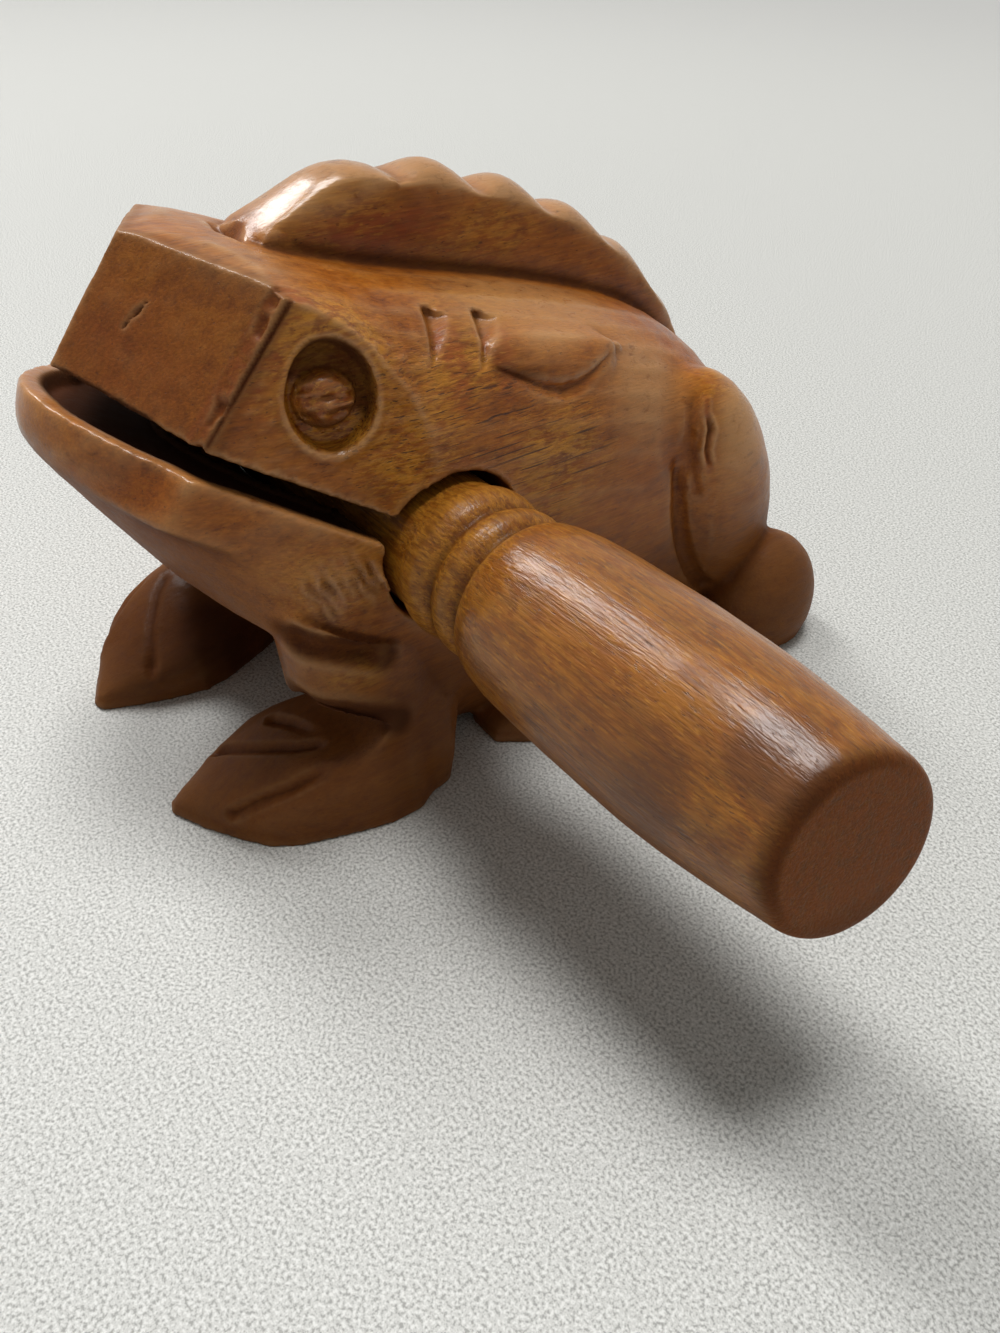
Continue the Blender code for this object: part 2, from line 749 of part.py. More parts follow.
def cross_bore():
    radius = STRIKER_SHAFT_DIAMETER / 2 + BORE_CLEARANCE
    outline = oval(radius, radius, count=RING_POINTS)
    rings = []
    for x in (-BODY_WIDTH, BODY_WIDTH):
        rings.append([(x, BORE_CENTRE.y + a, BORE_CENTRE.z + b) for a, b in outline])
    return helper(loft("cross_bore", rings))


def chamber():
    """The resonance chamber, gouged out through the mouth and the bore."""
    size = (CHAMBER_WIDTH, CHAMBER_LENGTH, CHAMBER_HEIGHT)
    return ellipsoid("chamber", BORE_CENTRE, size, MOUTH.to_3x3().to_4x4())


def ground():
    reach = BODY_WIDTH * 2
    return box("ground", (-reach, -reach, -reach), (reach, reach, 0))


def frog_body(material):
    body = block()
    combine(body, head_planes(), "DIFFERENCE")
    front, hind = front_foot(), hind_foot()
    additions = [jaw(), crest()]
    for side in SIDES:
        additions += [arm(side), thigh(side), heel(side), eye_dome(side)]
    combine(body, additions, "UNION")
    combine(body, [wrist_notch()], "DIFFERENCE")
    feet = []
    for side in SIDES:
        feet += [front.solid("front_foot", side), hind.solid("hind_foot", side)]
    combine(body, feet, "UNION")
    cuts = [ground(), mouth_slot(), chamber(), cross_bore(), stop_cut()]
    for side in SIDES:
        cuts += [eye_groove(side), shoulder_crease(side), thigh_groove(side)]
        cuts += brow_gouges(side) + toe_cuts(front, side)
    combine(body, cuts, "DIFFERENCE")
    body.data.materials.append(material)
    return body


def striker(material):
    """The turned stick: a plain shaft, a ring between two grooves, and a handle."""
    shaft, handle = STRIKER_SHAFT_DIAMETER / 2, STRIKER_HANDLE_DIAMETER / 2
    start = BODY_WIDTH / 2 - STRIKER_INSERTED
    collar = BODY_WIDTH / 2 + STRIKER_COLLAR_LENGTH
    ring = collar + STRIKER_GROOVE
    grip = ring + STRIKER_RING_LENGTH + STRIKER_GROOVE
    end = grip + STRIKER_HANDLE_LENGTH
    profile = []
    steps = 4
    for k in range(steps + 1):
        angle = math.pi / 2 * k / steps
        inset = STRIKER_END_ROUND * (1 - math.sin(angle))
        profile.append((start + STRIKER_END_ROUND * (1 - math.cos(angle)), shaft - inset))
    neck = shaft - STRIKER_GROOVE / 2
    profile += [
        (BODY_WIDTH / 2, shaft),
        (collar, shaft),
        (collar + STRIKER_GROOVE / 2, neck),
        (ring, shaft),
        (ring + STRIKER_RING_LENGTH, shaft),
        (ring + STRIKER_RING_LENGTH + STRIKER_GROOVE / 2, neck),
    ]
    tip = STRIKER_END_DIAMETER / 2
    swell = curve_through([(grip, shaft), (grip + STRIKER_SWELL_LENGTH, handle), (end, tip)])
    for k in range(9):
        x = grip + (STRIKER_HANDLE_LENGTH - STRIKER_END_ROUND) * k / 8
        profile.append((x, swell(x)))
    for k in range(1, steps + 1):
        angle = math.pi / 2 * k / steps
        inset = STRIKER_END_ROUND * (1 - math.cos(angle))
        profile.append((end - STRIKER_END_ROUND * (1 - math.sin(angle)), tip - inset))
    rings = []
    for x, radius in profile:
        rings.append([(x, a, b) for a, b in oval(radius, radius, count=RING_POINTS)])
    stick = loft("striker", rings)
    stick.location = BORE_CENTRE - Vector((0, 0, BORE_CLEARANCE - SEAT_GAP))
    stick.data.materials.append(material)
    return stick


def main():
    clear_scene()
    frog_body(wood("stained_wood", WOOD_COLOUR))
    striker(wood("stained_stick", STICK_COLOUR))


main()
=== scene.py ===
"""The frog guiro's looks: the carved frog and its turned striker, on a pale floor in soft light.

Metres, +Z up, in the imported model's frame: the frog faces -Y and its left side is +X.
Carving is done on arrays of points in millimetres. Its lines and patches are given on the left side.
"""

import math
from contextlib import contextmanager

import bmesh
import bpy
import numpy as np
from mathutils import Matrix, Vector
from mathutils.bvhtree import BVHTree


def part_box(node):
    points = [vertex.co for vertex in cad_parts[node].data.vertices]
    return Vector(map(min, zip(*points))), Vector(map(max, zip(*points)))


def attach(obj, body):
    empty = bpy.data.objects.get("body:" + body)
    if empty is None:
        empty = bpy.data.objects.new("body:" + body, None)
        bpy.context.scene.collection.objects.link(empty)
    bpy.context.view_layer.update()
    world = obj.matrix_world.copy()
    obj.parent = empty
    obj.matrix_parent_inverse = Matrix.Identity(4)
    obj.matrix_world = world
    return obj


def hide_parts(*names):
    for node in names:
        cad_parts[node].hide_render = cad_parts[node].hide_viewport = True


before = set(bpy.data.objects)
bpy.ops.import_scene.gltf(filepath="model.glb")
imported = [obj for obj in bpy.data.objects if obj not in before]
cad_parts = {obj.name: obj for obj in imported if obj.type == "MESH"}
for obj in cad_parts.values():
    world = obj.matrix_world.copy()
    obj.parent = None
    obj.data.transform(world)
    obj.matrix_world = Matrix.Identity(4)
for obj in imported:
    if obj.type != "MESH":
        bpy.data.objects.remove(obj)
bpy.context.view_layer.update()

MM = 0.001

# Camera, fitted to the photograph: metres and degrees, and millimetres for the lens.
CAMERA_PLACE = (0.1026, -0.0738, 0.09488)
CAMERA_AZIMUTH = 50.03
CAMERA_PITCH = 39.07
CAMERA_ROLL = 2.8
CAMERA_LENS = 27.99
CAMERA_NEAR = 0.01

# The frog's mesh: how far apart its points are, the turn of the surface beyond which they are
# twice as close, and the gap that is welded shut before.
VOXEL = 0.55
CREASE_TURN = math.cos(math.radians(13.0))
WELD = 0.001

# The head's planes, as in the CAD model: a point and the outward way of each.
MOUTH_ORIGIN = np.array((0.0, -47.0, 52.2))
MOUTH_PITCH = math.radians(30.0)
CHEEK_OUT = np.array((0.949, -0.2366, 0.207))
SNOUT_OUT = np.array((0.4444, -0.7018, 0.5522))

# The lower lip: the middle of its bow along the mouth, its top below the upper lip's plane, the levels
# between which its rim is measured, the turns at which that is done, and the hollow behind the rim.
LIP_CENTRE = 25.0
LIP_TOP = 2.9
LIP_RIM = (-4.2, -3.2)
LIP_TURNS = np.arange(0, 101, 4)
LIP_TURN_REACH = 3
LIP_HOLLOW = 1.2

# The crest, from its foot behind the brow to the tail, and over what length its facets fade in and out.
CREST_FROM = -26.0
CREST_TO = 44.0
CREST_FADE_IN = 1.5
CREST_FADE_OUT = 4.0

# How its ridge is measured: half its width, the steps along it, how far round a step to look, and how
# many steps are averaged.
RIDGE_HALF = 0.7
RIDGE_STEP = 0.3
RIDGE_REACH = 0.35
RIDGE_MEAN = 7

# How much of its arch is taken out, on the first hump and behind it, and how deep below the ridge.
FIRST_HUMP_END = -8.5
FIRST_FLATTER = 0.6
CREST_FLATTER = 0.3
FLATTER_DEPTH = 2.6

# The height of the back beside the crest, at places along it.
BACK_PLACES = (-30.0, -25.4, -15.2, -2.0, 15.2, 30.3, 40.0, 48.0)
BACK_HEIGHTS = (61.6, 60.8, 57.9, 54.5, 49.9, 44.4, 37.0, 29.0)

# Eyes: the socket's outline, its floor, the rim round it, and the dome in it.
EYE_PLACE = np.array((19.43, -27.0, 51.2))
EYE_HALF_WIDTH = 4.75
EYE_HALF_HEIGHT = 5.6
EYE_FLOOR = 2.1
EYE_WALL = 0.84
EYE_RIM = 1.06
EYE_RIM_WIDTH = 0.06
EYE_RIM_RISE = 0.14
DOME_HALF_WIDTH = 3.2
DOME_HALF_HEIGHT = 2.8
DOME_SHIFT = 0.35
DOME_RISE = 2.0
DOME_STROKES = 0.55
FLOOR_STROKES = 0.16

# The eye's outline is ragged, and its carving goes over into the cheek, in shares of the socket.
EYE_RAGGED = 0.035
EYE_REACH = 1.3
EYE_BLEND = (1.28, 1.08)

# How far round an eye the mesh is finer, and how far from the cheek's plane it is carved and stained.
EYE_FINER = 8.5
EYE_CARVED = 4.0
EYE_STAINED = 5.0

# Lines of the carving: the edge between snout and cheek, the slit on the thigh, the nick in the snout,
# the chip cuts behind the eye, the thigh's front edge and groove, the folds of the arm, and the
# swelling of the shoulder with the crease under it.
ARRIS = np.array([(17.0, -28.7, 60.7), (17.0, -39.5, 48.1)])
SLIT = [(24.3, 24.0, 41.2), (25.2, 23.0, 38.8), (25.8, 23.5, 36.5), (26.3, 22.8, 34.0), (26.8, 23.2, 31.5)]
NICK = [(4.8, -40.7, 56.3), (5.3, -39.4, 57.6), (5.7, -38.4, 58.5)]
GOUGES = [[(17.0, -11.6, 55.0), (20.5, -13.0, 47.5)], [(17.0, -5.2, 54.0), (20.5, -6.6, 46.5)]]
THIGH_TOP = [(22.4, 23.2, 41.9), (24.0, 21.3, 39.0), (25.0, 20.7, 35.5)]
THIGH_EDGE = THIGH_TOP + [(25.9, 21.2, 31.5), (26.4, 22.1, 28.6)]
THIGH_GROOVE = [(25.9, 21.2, 31.5), (26.4, 22.1, 28.6), (26.3, 22.7, 23.8), (24.3, 25.9, 15.2)]
ARM_FOLDS = [
    [(20.5, -36.0, 26.6), (24.5, -29.7, 24.4), (25.2, -25.5, 22.2)],
    [(20.0, -35.6, 18.0), (25.6, -30.9, 16.4), (26.6, -24.9, 13.3)],
]
LEAF = [(19, -6.5, 52.0), (19.5, 2.0, 49.8), (19, 8.0, 48.6), (18.5, 12.8, 47.7)]
LEAF_HALF_WIDTH = 3.0
LEAF_RISE = 0.85
CREASE = [(20.0, -8.6, 49.6), (20.3, -2.6, 48.2), (19.4, 7.4, 46.4), (18.5, 12.6, 47.1)]

# The chipped band beside the arris: its width, how much narrower it is at the lower end, how ragged it
# is, and how deep it is at least and in its chips.
BAND_WIDTH = 2.3
BAND_TAPER = 0.6
BAND_RAGGED = 0.6
BAND_DEPTH = 0.06
CHIP_DEPTH = 0.42

# How deep the knife's strokes on the cheeks and its chatter on the jaw are.
CHEEK_STROKES = 0.11
JAW_CHATTER = 0.24

# The lines between the front toes, where along its length each begins to fade, and how much of it
# the right foot has.
TOES = [
    [(9.3, -41.2, 4.1), (15.2, -38.1, 7.4), (19.4, -35.1, 9.0), (22.1, -31.9, 10.1)],
    [(19.6, -44.4, 3.4), (21.6, -41.1, 5.6), (23.3, -38.2, 7.1), (24.8, -33.5, 9.0)],
    [(12.5, -34.6, 8.2), (15.2, -33.5, 9.1), (21.3, -31.8, 10.1)],
]
TOE_FADES = (0.82, 0.82, 0.35)
TOE_FAR = (0.4, 0.4, 0.0)

# The corner of the jaw, which the knife left rough, and the front foot's heel, which is worn round.
JAW_CORNER = np.array((23.2, -28.8, 31.8))
FOOT_HEEL = np.array((28.7, -17.0, 6.0))

# Lines along which the mesh is finer, and how far from each.
FINE_CUTS = [(ARRIS, 2.6), (SLIT, 2.6), (NICK, 1.6), (CREASE, 2.5), (THIGH_EDGE, 1.6)]
FINE_CUTS += [(gouge, 3.0) for gouge in GOUGES] + [(toe, 1.8) for toe in TOES]

# Cuts with worn edges: how much they are softened, how far from the line that ends, and where it is whole.
WORN_CUTS = [(gouge, 0.3, 4.5, 3.0) for gouge in GOUGES]
WORN_CUTS += [(CREASE, 0.3, 3.5, 2.0), (THIGH_GROOVE, 0.6, 3.0, 1.8)]

# Zones of the frog: where each begins and where it is whole, along X, Y or Z, along the mouth (run),
# above the upper lip's plane (level) or above the back beside the crest (above).
LIP_EDGE = [("level", -6.0, -4.6), ("level", -2.2, -2.7), ("run", 34.0, 28.0)]
LOWER_CHEEK = [("level", -4.4, -5.4), ("level", -20.0, -17.0), ("run", 26.0, 20.0)]
MOUTH_SLOT = [("level", -4.4, -4.0), ("level", 0.6, 0.3)]
SNOUT_TOP = [("level", -0.5, 0.5), ("y", -27.0, -30.0)]
CREST_VALLEY = [("above", -2.0, -1.0), ("above", 2.0, 1.0), ("x", 7.0, 5.5), ("y", -25.0, -23.0)]
FRONT_FOOT = [("x", 8, 10), ("y", 6.0, 2.0), ("z", 14.0, 9.0)]
FRONT_LEG = [("x", 6, 9), ("y", -6.0, -10.0), ("z", 30.0, 25.0)]
HIND_LEG = [("x", 8, 11), ("y", 14.0, 18.0), ("z", 46.0, 40.0)]
# The front half and the low part, where the frog is darkened with painted shade.
FRONT_HALF = [("y", 0.0, -10.0)]
LOW_DOWN = [("z", 32.0, 13.0)]
OFF_FLOOR = [("z", 0.4, 1.4)]
UNEVEN_FROM = [("z", 0.3, 1.5)]

# How often each place is smoothed: more is rounder.
LIP_ROUNDS = 12
VALLEY_ROUNDS = 8
CUT_ROUNDS = 50
GROOVE_TOP_ROUNDS = 150
CHEEK_ROUNDS = 25
FOOT_ROUNDS = 40
LEG_ROUNDS = 24
HEEL_ROUNDS = 220

# The hand-cut surface, askew to the axes: how deep each scale of its unevenness is, its lumps across and
# along the fibres, and its seed. It is also bent in waves.
SURFACE_TURN = np.array(Matrix.Rotation(math.radians(33.0), 3, "Y"))
UNEVENNESS = [(0.10, 7.0, 11.0, 31), (0.045, 2.2, 5.0, 32), (0.015, 0.9, 3.2, 33)]
WAVE_HEIGHT = 1.8
WAVE_TURN = 0.37
WAVE_SHIFTS = np.array((0.0, 1.3, 2.1))

# The frog's stain and painted highlights: patches by their middle, their reach along X, Y and Z, and their
# strength.
STAIN_AND_HIGHLIGHT_PATCHES = {
    # Worn wood, and painted highlight on the flank, back, thigh, head top and the shoulder's swelling.
    "wear_and_highlight": [
        ((20, 15, 42), (9, 11, 11), 0.75),
        ((12, 4, 52), (9, 24, 8), 0.65),
        ((26, 29, 35), (6, 8, 10), 0.8),
        ((8, -29, 62), (11, 8, 4), 0.35),
        ((19.3, 3, 50.6), (4, 9, 3), 0.4),
    ],
    "gilt_and_highlight": [
        ((18.5, -27, 54), (9, 11, 10), 1.0),
        ((22.5, -19, 44), (8, 10, 8), 0.9),
        ((24.2, -2, 38), (8, 13, 11), 0.8),
        ((24.2, -3, 38.5), (3, 5, 5), 0.6),
        ((20, -12, 51), (7, 10, 5), 0.7),
        ((3.4, -16, 62.5), (3, 11, 5), 0.9),
        ((3.6, 4, 58), (3, 14, 6), 0.6),
        # A painted highlight on the back.
        ((13, -4, 54), (8, 14, 5), 0.3),
        ((24, -30, 33), (10, 12, 8), 0.5),
        ((24, 28, 40), (7, 8, 9), 0.5),
        # A painted highlight on the arm's ledge.
        ((25.2, -29, 21.5), (4, 6, 3.5), 1.0),
    ],
    "ruddy": [
        ((3.6, -11, 60.5), (3.2, 13, 3.0), 1.2),
        ((21, 15, 38), (9, 10, 13), 0.4),
        ((18, -33, 55), (4, 7, 9), 0.4),
        ((6, -42, 54), (16, 10, 9), 0.5),
        ((12, 24, 44), (12, 14, 8), 0.4),
        ((10, -46, 42), (16, 12, 10), 0.4),
    ],
    "scored": [
        ((21, -18, 48), (10, 20, 12), 1.0),
        ((24, -2, 40), (9, 16, 13), 1.0),
        ((24, -30, 34), (9, 9, 6), 0.5),
    ],
}

# More patches: painted shade on the right front foot, the top of the thigh's groove, and the jaw's knife
# marks.
FAR_FOOT_SHADE = [((-17, -38, 6), (14, 16, 10), 0.65), ((-9, -31, 6), (9, 9, 9), 0.8)]
GROOVE_TOP = [(THIGH_TOP[0], (5, 5, 5), 1.0)]
JAW_MARKS = [(JAW_CORNER, (6, 6, 5), 1.0)]

# Striker: its mesh, and the turned outline over the CAD node's own, as places along it and radii.
STICK_STEP = 0.25
STICK_SEGMENTS = 144
STICK_SOFTEN = 3
COLLAR = [(24.0, 8.2), (25.4, 8.5), (26.8, 9.0), (28.0, 9.1), (29.2, 8.85), (30.0, 8.4), (30.6, 7.95)]
BEAD = [(31.2, 8.35), (32.0, 8.8), (32.8, 8.9), (33.6, 8.8), (34.4, 8.35), (35.0, 7.95), (35.5, 8.4)]
SHOULDER = [(36.2, 9.2), (38.0, 9.7), (41.0, 10.15), (45.0, 10.4), (50.0, 10.5), (56.0, 10.55)]
BARREL = [(61.0, 10.5), (66.0, 10.25), (71.0, 9.9), (75.5, 9.5), (78.5, 9.15)]
STICK_END = 81.0
END_ROUND = 1.3
END_ROUND_STEPS = 6
END_RADIUS = 9.0

# How broadly the outline is calmed to tell grooves from ridges, and the height that counts as a whole one.
GROOVE_SPREAD = 16
GROOVE_DEPTH = 0.25

# The end is sawn askew: how far it goes back, where the slope begins, and the way it goes.
END_SKEW = 5.0
END_SKEW_FROM = 20.0
END_SKEW_WAY = np.array((-0.69, 0.72))

# Noise in the wood: lumps across and along the fibres in millimetres, then detail, roughness,
# distortion and offset. Some of it is drawn out to marks, between a low and a high value.
WOOD_NOISE = {
    "clouds": (6.0, 12.0, 4.0, 0.55, 0.4, 0.0),
    "bands": (1.2, 16.0, 3.0, 0.6, 0.5, 3.7),
    "fibres": (0.26, 5.0, 3.0, 0.6, 0.2, 9.1),
    "mottle": (1.0, 2.2, 4.0, 0.6, 0.4, 27.7),
    "patches": (2.4, 4.4, 4.0, 0.65, 0.6, 21.3),
    "pores": (0.17, 0.9, 1.0, 0.5, 0.0, 5.3),
    "flecks": (0.28, 1.3, 2.0, 0.5, 0.0, 13.9),
    "scores": (0.24, 15.0, 1.0, 0.5, 0.10, 33.1),
    "strokes": (0.5, 2.4, 3.0, 0.6, 0.2, 41.9),
}
WOOD_MARKS = {"pores": (0.68, 0.75), "flecks": (0.58, 0.68), "scores": (0.64, 0.70)}

# Colours of what is dark on either piece, the last two painted shade over darker and pooled stain.
PORE_COLOUR = (0.035, 0.012, 0.006, 1)
SCORE_COLOUR = (0.050, 0.016, 0.007, 1)
DARK_STAIN_AND_SHADE_COLOUR = (0.105, 0.036, 0.011, 1)
POOLED_STAIN_AND_SHADE_COLOUR = (0.040, 0.012, 0.006, 1)

# The wax over the stain: its weight and roughness, how much the grain shows in it and in the wood
# under it, and how much that wood shines by itself.
WAX = 0.42
WAX_ROUGHNESS = 0.21
WAX_GRAIN = 0.22
WOOD_GRAIN = 0.6
WOOD_SHINE = 0.08

# Each piece's wood: the depth of its grain in millimetres, and its colours, the last for worn edges and
# painted highlights.
FROG_WOOD = {
    "relief": 0.14,
    "dark": (0.165, 0.038, 0.006, 1),
    "middle": (0.370, 0.108, 0.010, 1),
    "light": (0.480, 0.172, 0.022, 1),
    "gold": (0.640, 0.280, 0.030, 1),
    "red": (0.290, 0.055, 0.012, 1),
    "rubbed_and_lit": (0.640, 0.340, 0.130, 1),
}
STICK_WOOD = {
    "relief": 0.20,
    "dark": (0.150, 0.054, 0.014, 1),
    "middle": (0.245, 0.077, 0.006, 1),
    "light": (0.315, 0.106, 0.008, 1),
    "gold": (0.600, 0.260, 0.026, 1),
    "red": (0.270, 0.072, 0.014, 1),
    "rubbed_and_lit": (0.520, 0.270, 0.080, 1),
}

# The surroundings: their colour, their light from the horizon and from overhead, and how bright they look.
PALE = (1.0, 0.995, 0.96, 1)
HORIZON = 0.25
ZENITH = 0.15
BACKGROUND = 0.57

# The floor: half its width, its specks in millimetres, its colours from dark to light, its roughness,
# and between which distances it turns into the background. Metres.
FLOOR_HALF = 8.0
FLOOR_SPECK = 0.36
FLOOR_DARK = (0.34, 0.34, 0.32, 1)
FLOOR_MIDDLE = (0.61, 0.61, 0.58, 1)
FLOOR_LIGHT = (0.78, 0.78, 0.75, 1)
FLOOR_ROUGHNESS = 0.55
FLOOR_FADE = (0.3, 1.1)

# Lamps: name, place, what each is aimed at, width and height in metres, and power in watts.
LAMPS = [
    ("window", (-1.36, -0.08, 1.62), (0, 0, 0.05), (0.34, 1.15), 24.0),
    ("ceiling", (-0.30, 0.25, 2.55), (0, 0, 0.03), (0.8, 0.8), 36.0),
]


def smoothstep(values, low, high):
    """0 below low, 1 above high, and smooth between. Low may be the larger."""
    t = np.clip((values - low) / (high - low), 0, 1)
    return t * t * (3 - 2 * t)


def lattice(cells, seed):
    """A repeatable number from -1 to 1 for each whole-number cell."""
    n = cells[:, 0] * 374761393 + cells[:, 1] * 668265263 + cells[:, 2] * 1442695041 + seed * 1274126177
    n &= 0xFFFFFFFF
    n = ((n ^ (n >> 13)) * 1274126177) & 0xFFFFFFFF
    return ((n ^ (n >> 16)) & 0xFFFF) / 32767.5 - 1


def noise(points, size, seed):
    """Smooth noise from -1 to 1, whose lumps are about size across, in each direction."""
    scaled = points / np.asarray(size, float)
    cell = np.floor(scaled).astype(np.int64)
    part = scaled - cell
    part = part * part * (3 - 2 * part)
    total = np.zeros(len(points))
    for corner in np.ndindex(2, 2, 2):
        weight = np.prod(np.where(corner, part, 1 - part), axis=1)
        total += weight * lattice(cell + np.array(corner), seed)
    return total


def along_line(points, path):
    """How far each point is from a line through the path's points, and its share along it."""
    path = np.asarray(path, float)
    best = np.full(len(points), np.inf)
    share = np.zeros(len(points))
    pieces = len(path) - 1
    for k in range(pieces):
        start, step = path[k], path[k + 1] - path[k]
        t = np.clip((points - start) @ step / (step @ step), 0, 1)
        gap = np.linalg.norm(points - start - t[:, None] * step, axis=1)
        nearer = gap < best
        best[nearer] = gap[nearer]
        share[nearer] = (k + t[nearer]) / pieces
    return best, share


def near_line(points, path, far, near):
    """1 within near of a line, 0 beyond far, and smooth between."""
    return smoothstep(along_line(points, path)[0], far, near)


def patches(points, spots):
    """How strong a list of round patches is at each point, all together."""
    total = np.zeros(len(points))
    for middle, reach, strength in spots:
        gap = np.linalg.norm((points - np.array(middle)) / np.array(reach), axis=1)
        total += strength * smoothstep(gap, 1.0, 0.25)
    return total


class Carving:
    """A mesh as arrays in millimetres, with what carving needs: outward ways and neighbours."""

    def __init__(self, mesh):
        count = len(mesh.vertices)
        places = np.empty(count * 3)
        mesh.vertices.foreach_get("co", places)
        self.points = places.reshape(-1, 3) / MM
        ends = np.empty(len(mesh.edges) * 2, np.int32)
        mesh.edges.foreach_get("vertices", ends)
        self.ends = ends.reshape(-1, 2)
        self.degree = np.bincount(ends, minlength=count)
        mesh.calc_loop_triangles()
        corners = np.empty(len(mesh.loop_triangles) * 3, np.int32)
        mesh.loop_triangles.foreach_get("vertices", corners)
        self.triangles = corners.reshape(-1, 3)

    def outward(self):
        """The outward way at each point."""
        a, b, c = (self.points[self.triangles[:, k]] for k in range(3))
        faces = np.cross(b - a, c - a)
        normals = np.empty_like(self.points)
        for axis in range(3):
            weights = np.repeat(faces[:, axis], 3)
            normals[:, axis] = np.bincount(self.triangles.ravel(), weights, len(self.points))
        return normals / np.maximum(np.linalg.norm(normals, axis=1), 1e-12)[:, None]

    def mean(self, values):
        """Each point's average over its neighbours."""
        i, j = self.ends.T
        total = np.bincount(i, values[j], len(values)) + np.bincount(j, values[i], len(values))
        return total / self.degree

    def mean_points(self, points):
        return np.stack([self.mean(points[:, axis]) for axis in range(3)], axis=1)

    def spread(self, values):
        """Values averaged half and half with their neighbours."""
        return (values + self.mean(values)) / 2

    def calmed(self, times):
        """The points on a surface without small forms."""
        calm = self.points.copy()
        for _ in range(times):
            calm = (calm + self.mean_points(calm)) / 2
        return calm

    def relax(self, times, mask):
        """Rounds edges where mask is near 1."""
        share = 0.5 * mask[:, None]
        for _ in range(times):
            self.points += (self.mean_points(self.points) - self.points) * share

    def soften(self, times, mask):
        """Goes a part of the way, as mask says, to a surface without small forms."""
        self.points += (self.calmed(times) - self.points) * mask[:, None]

    def settle(self, tree):
        """Puts each point on the CAD surface."""
        for k, point in enumerate(self.points * MM):
            self.points[k] = np.array(tree.find_nearest(Vector(point))[0]) / MM

    def steady(self):
        """Takes out the remesh's steps and keeps the volume."""
        for share in (0.5, -0.52):
            self.points += (self.mean_points(self.points) - self.points) * share

    def push(self, amount):
        """Moves each point outward."""
        self.points += self.outward() * amount[:, None]

    def mirrored(self):
        """The points as seen on the left side."""
        points = self.points.copy()
        points[:, 0] = np.abs(points[:, 0])
        return points

    def bend(self, times):
        """How far each point stands out from its smoothed surroundings."""
        return np.einsum("ij,ij->i", self.points - self.calmed(times), self.outward())

    def store(self, mesh):
        mesh.vertices.foreach_set("co", (self.points * MM).ravel())
        mesh.polygons.foreach_set("use_smooth", np.ones(len(mesh.polygons), bool))
        mesh.update()


@contextmanager
def edited(mesh):
    """A mesh opened for editing, and stored again afterwards."""
    bm = bmesh.new()
    bm.from_mesh(mesh)
    yield bm
    bm.to_mesh(mesh)
    bm.free()


def placed(name, data):
    """A new object in the scene."""
    obj = bpy.data.objects.new(name, data)
    bpy.context.scene.collection.objects.link(obj)
    return obj


def paint(mesh, name, values):
    """Stores a number for each point, which the material reads by its name."""
    layer = mesh.attributes.new(name, "FLOAT", "POINT")
    layer.data.foreach_set("value", np.asarray(values, np.float32))


def remeshed(node, name):
    """A copy of a CAD node as an even, closed mesh, and a search tree of the node's own surface."""
    mesh = node.data.copy()
    with edited(mesh) as bm:
        bmesh.ops.remove_doubles(bm, verts=bm.verts, dist=WELD * MM)
        tree = BVHTree.FromBMesh(bm)
    mesh.materials.clear()
    rough = placed(name + "_rough", mesh)
    modifier = rough.modifiers.new("even", "REMESH")
    modifier.mode = "VOXEL"
    modifier.voxel_size = VOXEL * MM
    bpy.context.view_layer.update()
    evaluated = rough.evaluated_get(bpy.context.evaluated_depsgraph_get())
    even = bpy.data.meshes.new_from_object(evaluated)
    bpy.data.objects.remove(rough)
    bpy.data.meshes.remove(mesh)
    for layer in list(even.attributes):
        if not layer.is_internal and not layer.is_required:
            even.attributes.remove(layer)
    even.name = name
    return even, tree


def refine(mesh, carving):
    """Halves the faces along creases, round the eyes and along the finer cuts."""
    normals = carving.outward()
    i, j = carving.ends.T
    left = carving.mirrored()
    middle = (left[i] + left[j]) / 2
    marked = np.einsum("ij,ij->i", normals[i], normals[j]) < CREASE_TURN
    marked |= np.linalg.norm(middle - EYE_PLACE, axis=1) < EYE_FINER
    for path, reach in FINE_CUTS:
        marked |= along_line(middle, path)[0] < reach
    with edited(mesh) as bm:
        near = [edge for edge, wanted in zip(bm.edges, marked) if wanted]
        bmesh.ops.subdivide_edges(bm, edges=near, cuts=1, use_grid_fill=True)
        bmesh.ops.triangulate(bm, faces=[face for face in bm.faces if len(face.verts) > 4])


def mouth_levels(points):
    """How far each point is along the mouth from the snout's tip, and above the upper lip's plane."""
    back = points[:, 1] - MOUTH_ORIGIN[1]
    rise = points[:, 2] - MOUTH_ORIGIN[2]
    run = back * math.cos(MOUTH_PITCH) - rise * math.sin(MOUTH_PITCH)
    level = back * math.sin(MOUTH_PITCH) + rise * math.cos(MOUTH_PITCH)
    return run, level


def lip_inset(points):
    """How far each point is inside the lower lip's outline, seen square to the mouth."""
    run, level = mouth_levels(points)
    turn = np.degrees(np.arctan2(np.abs(points[:, 0]), LIP_CENTRE - run))
    reach = np.hypot(points[:, 0], LIP_CENTRE - run)
    rim = (level > LIP_RIM[0]) & (level < LIP_RIM[1])
    outline = [reach[rim & (np.abs(turn - t) < LIP_TURN_REACH)].max() for t in LIP_TURNS]
    return np.interp(turn, LIP_TURNS, outline) - reach


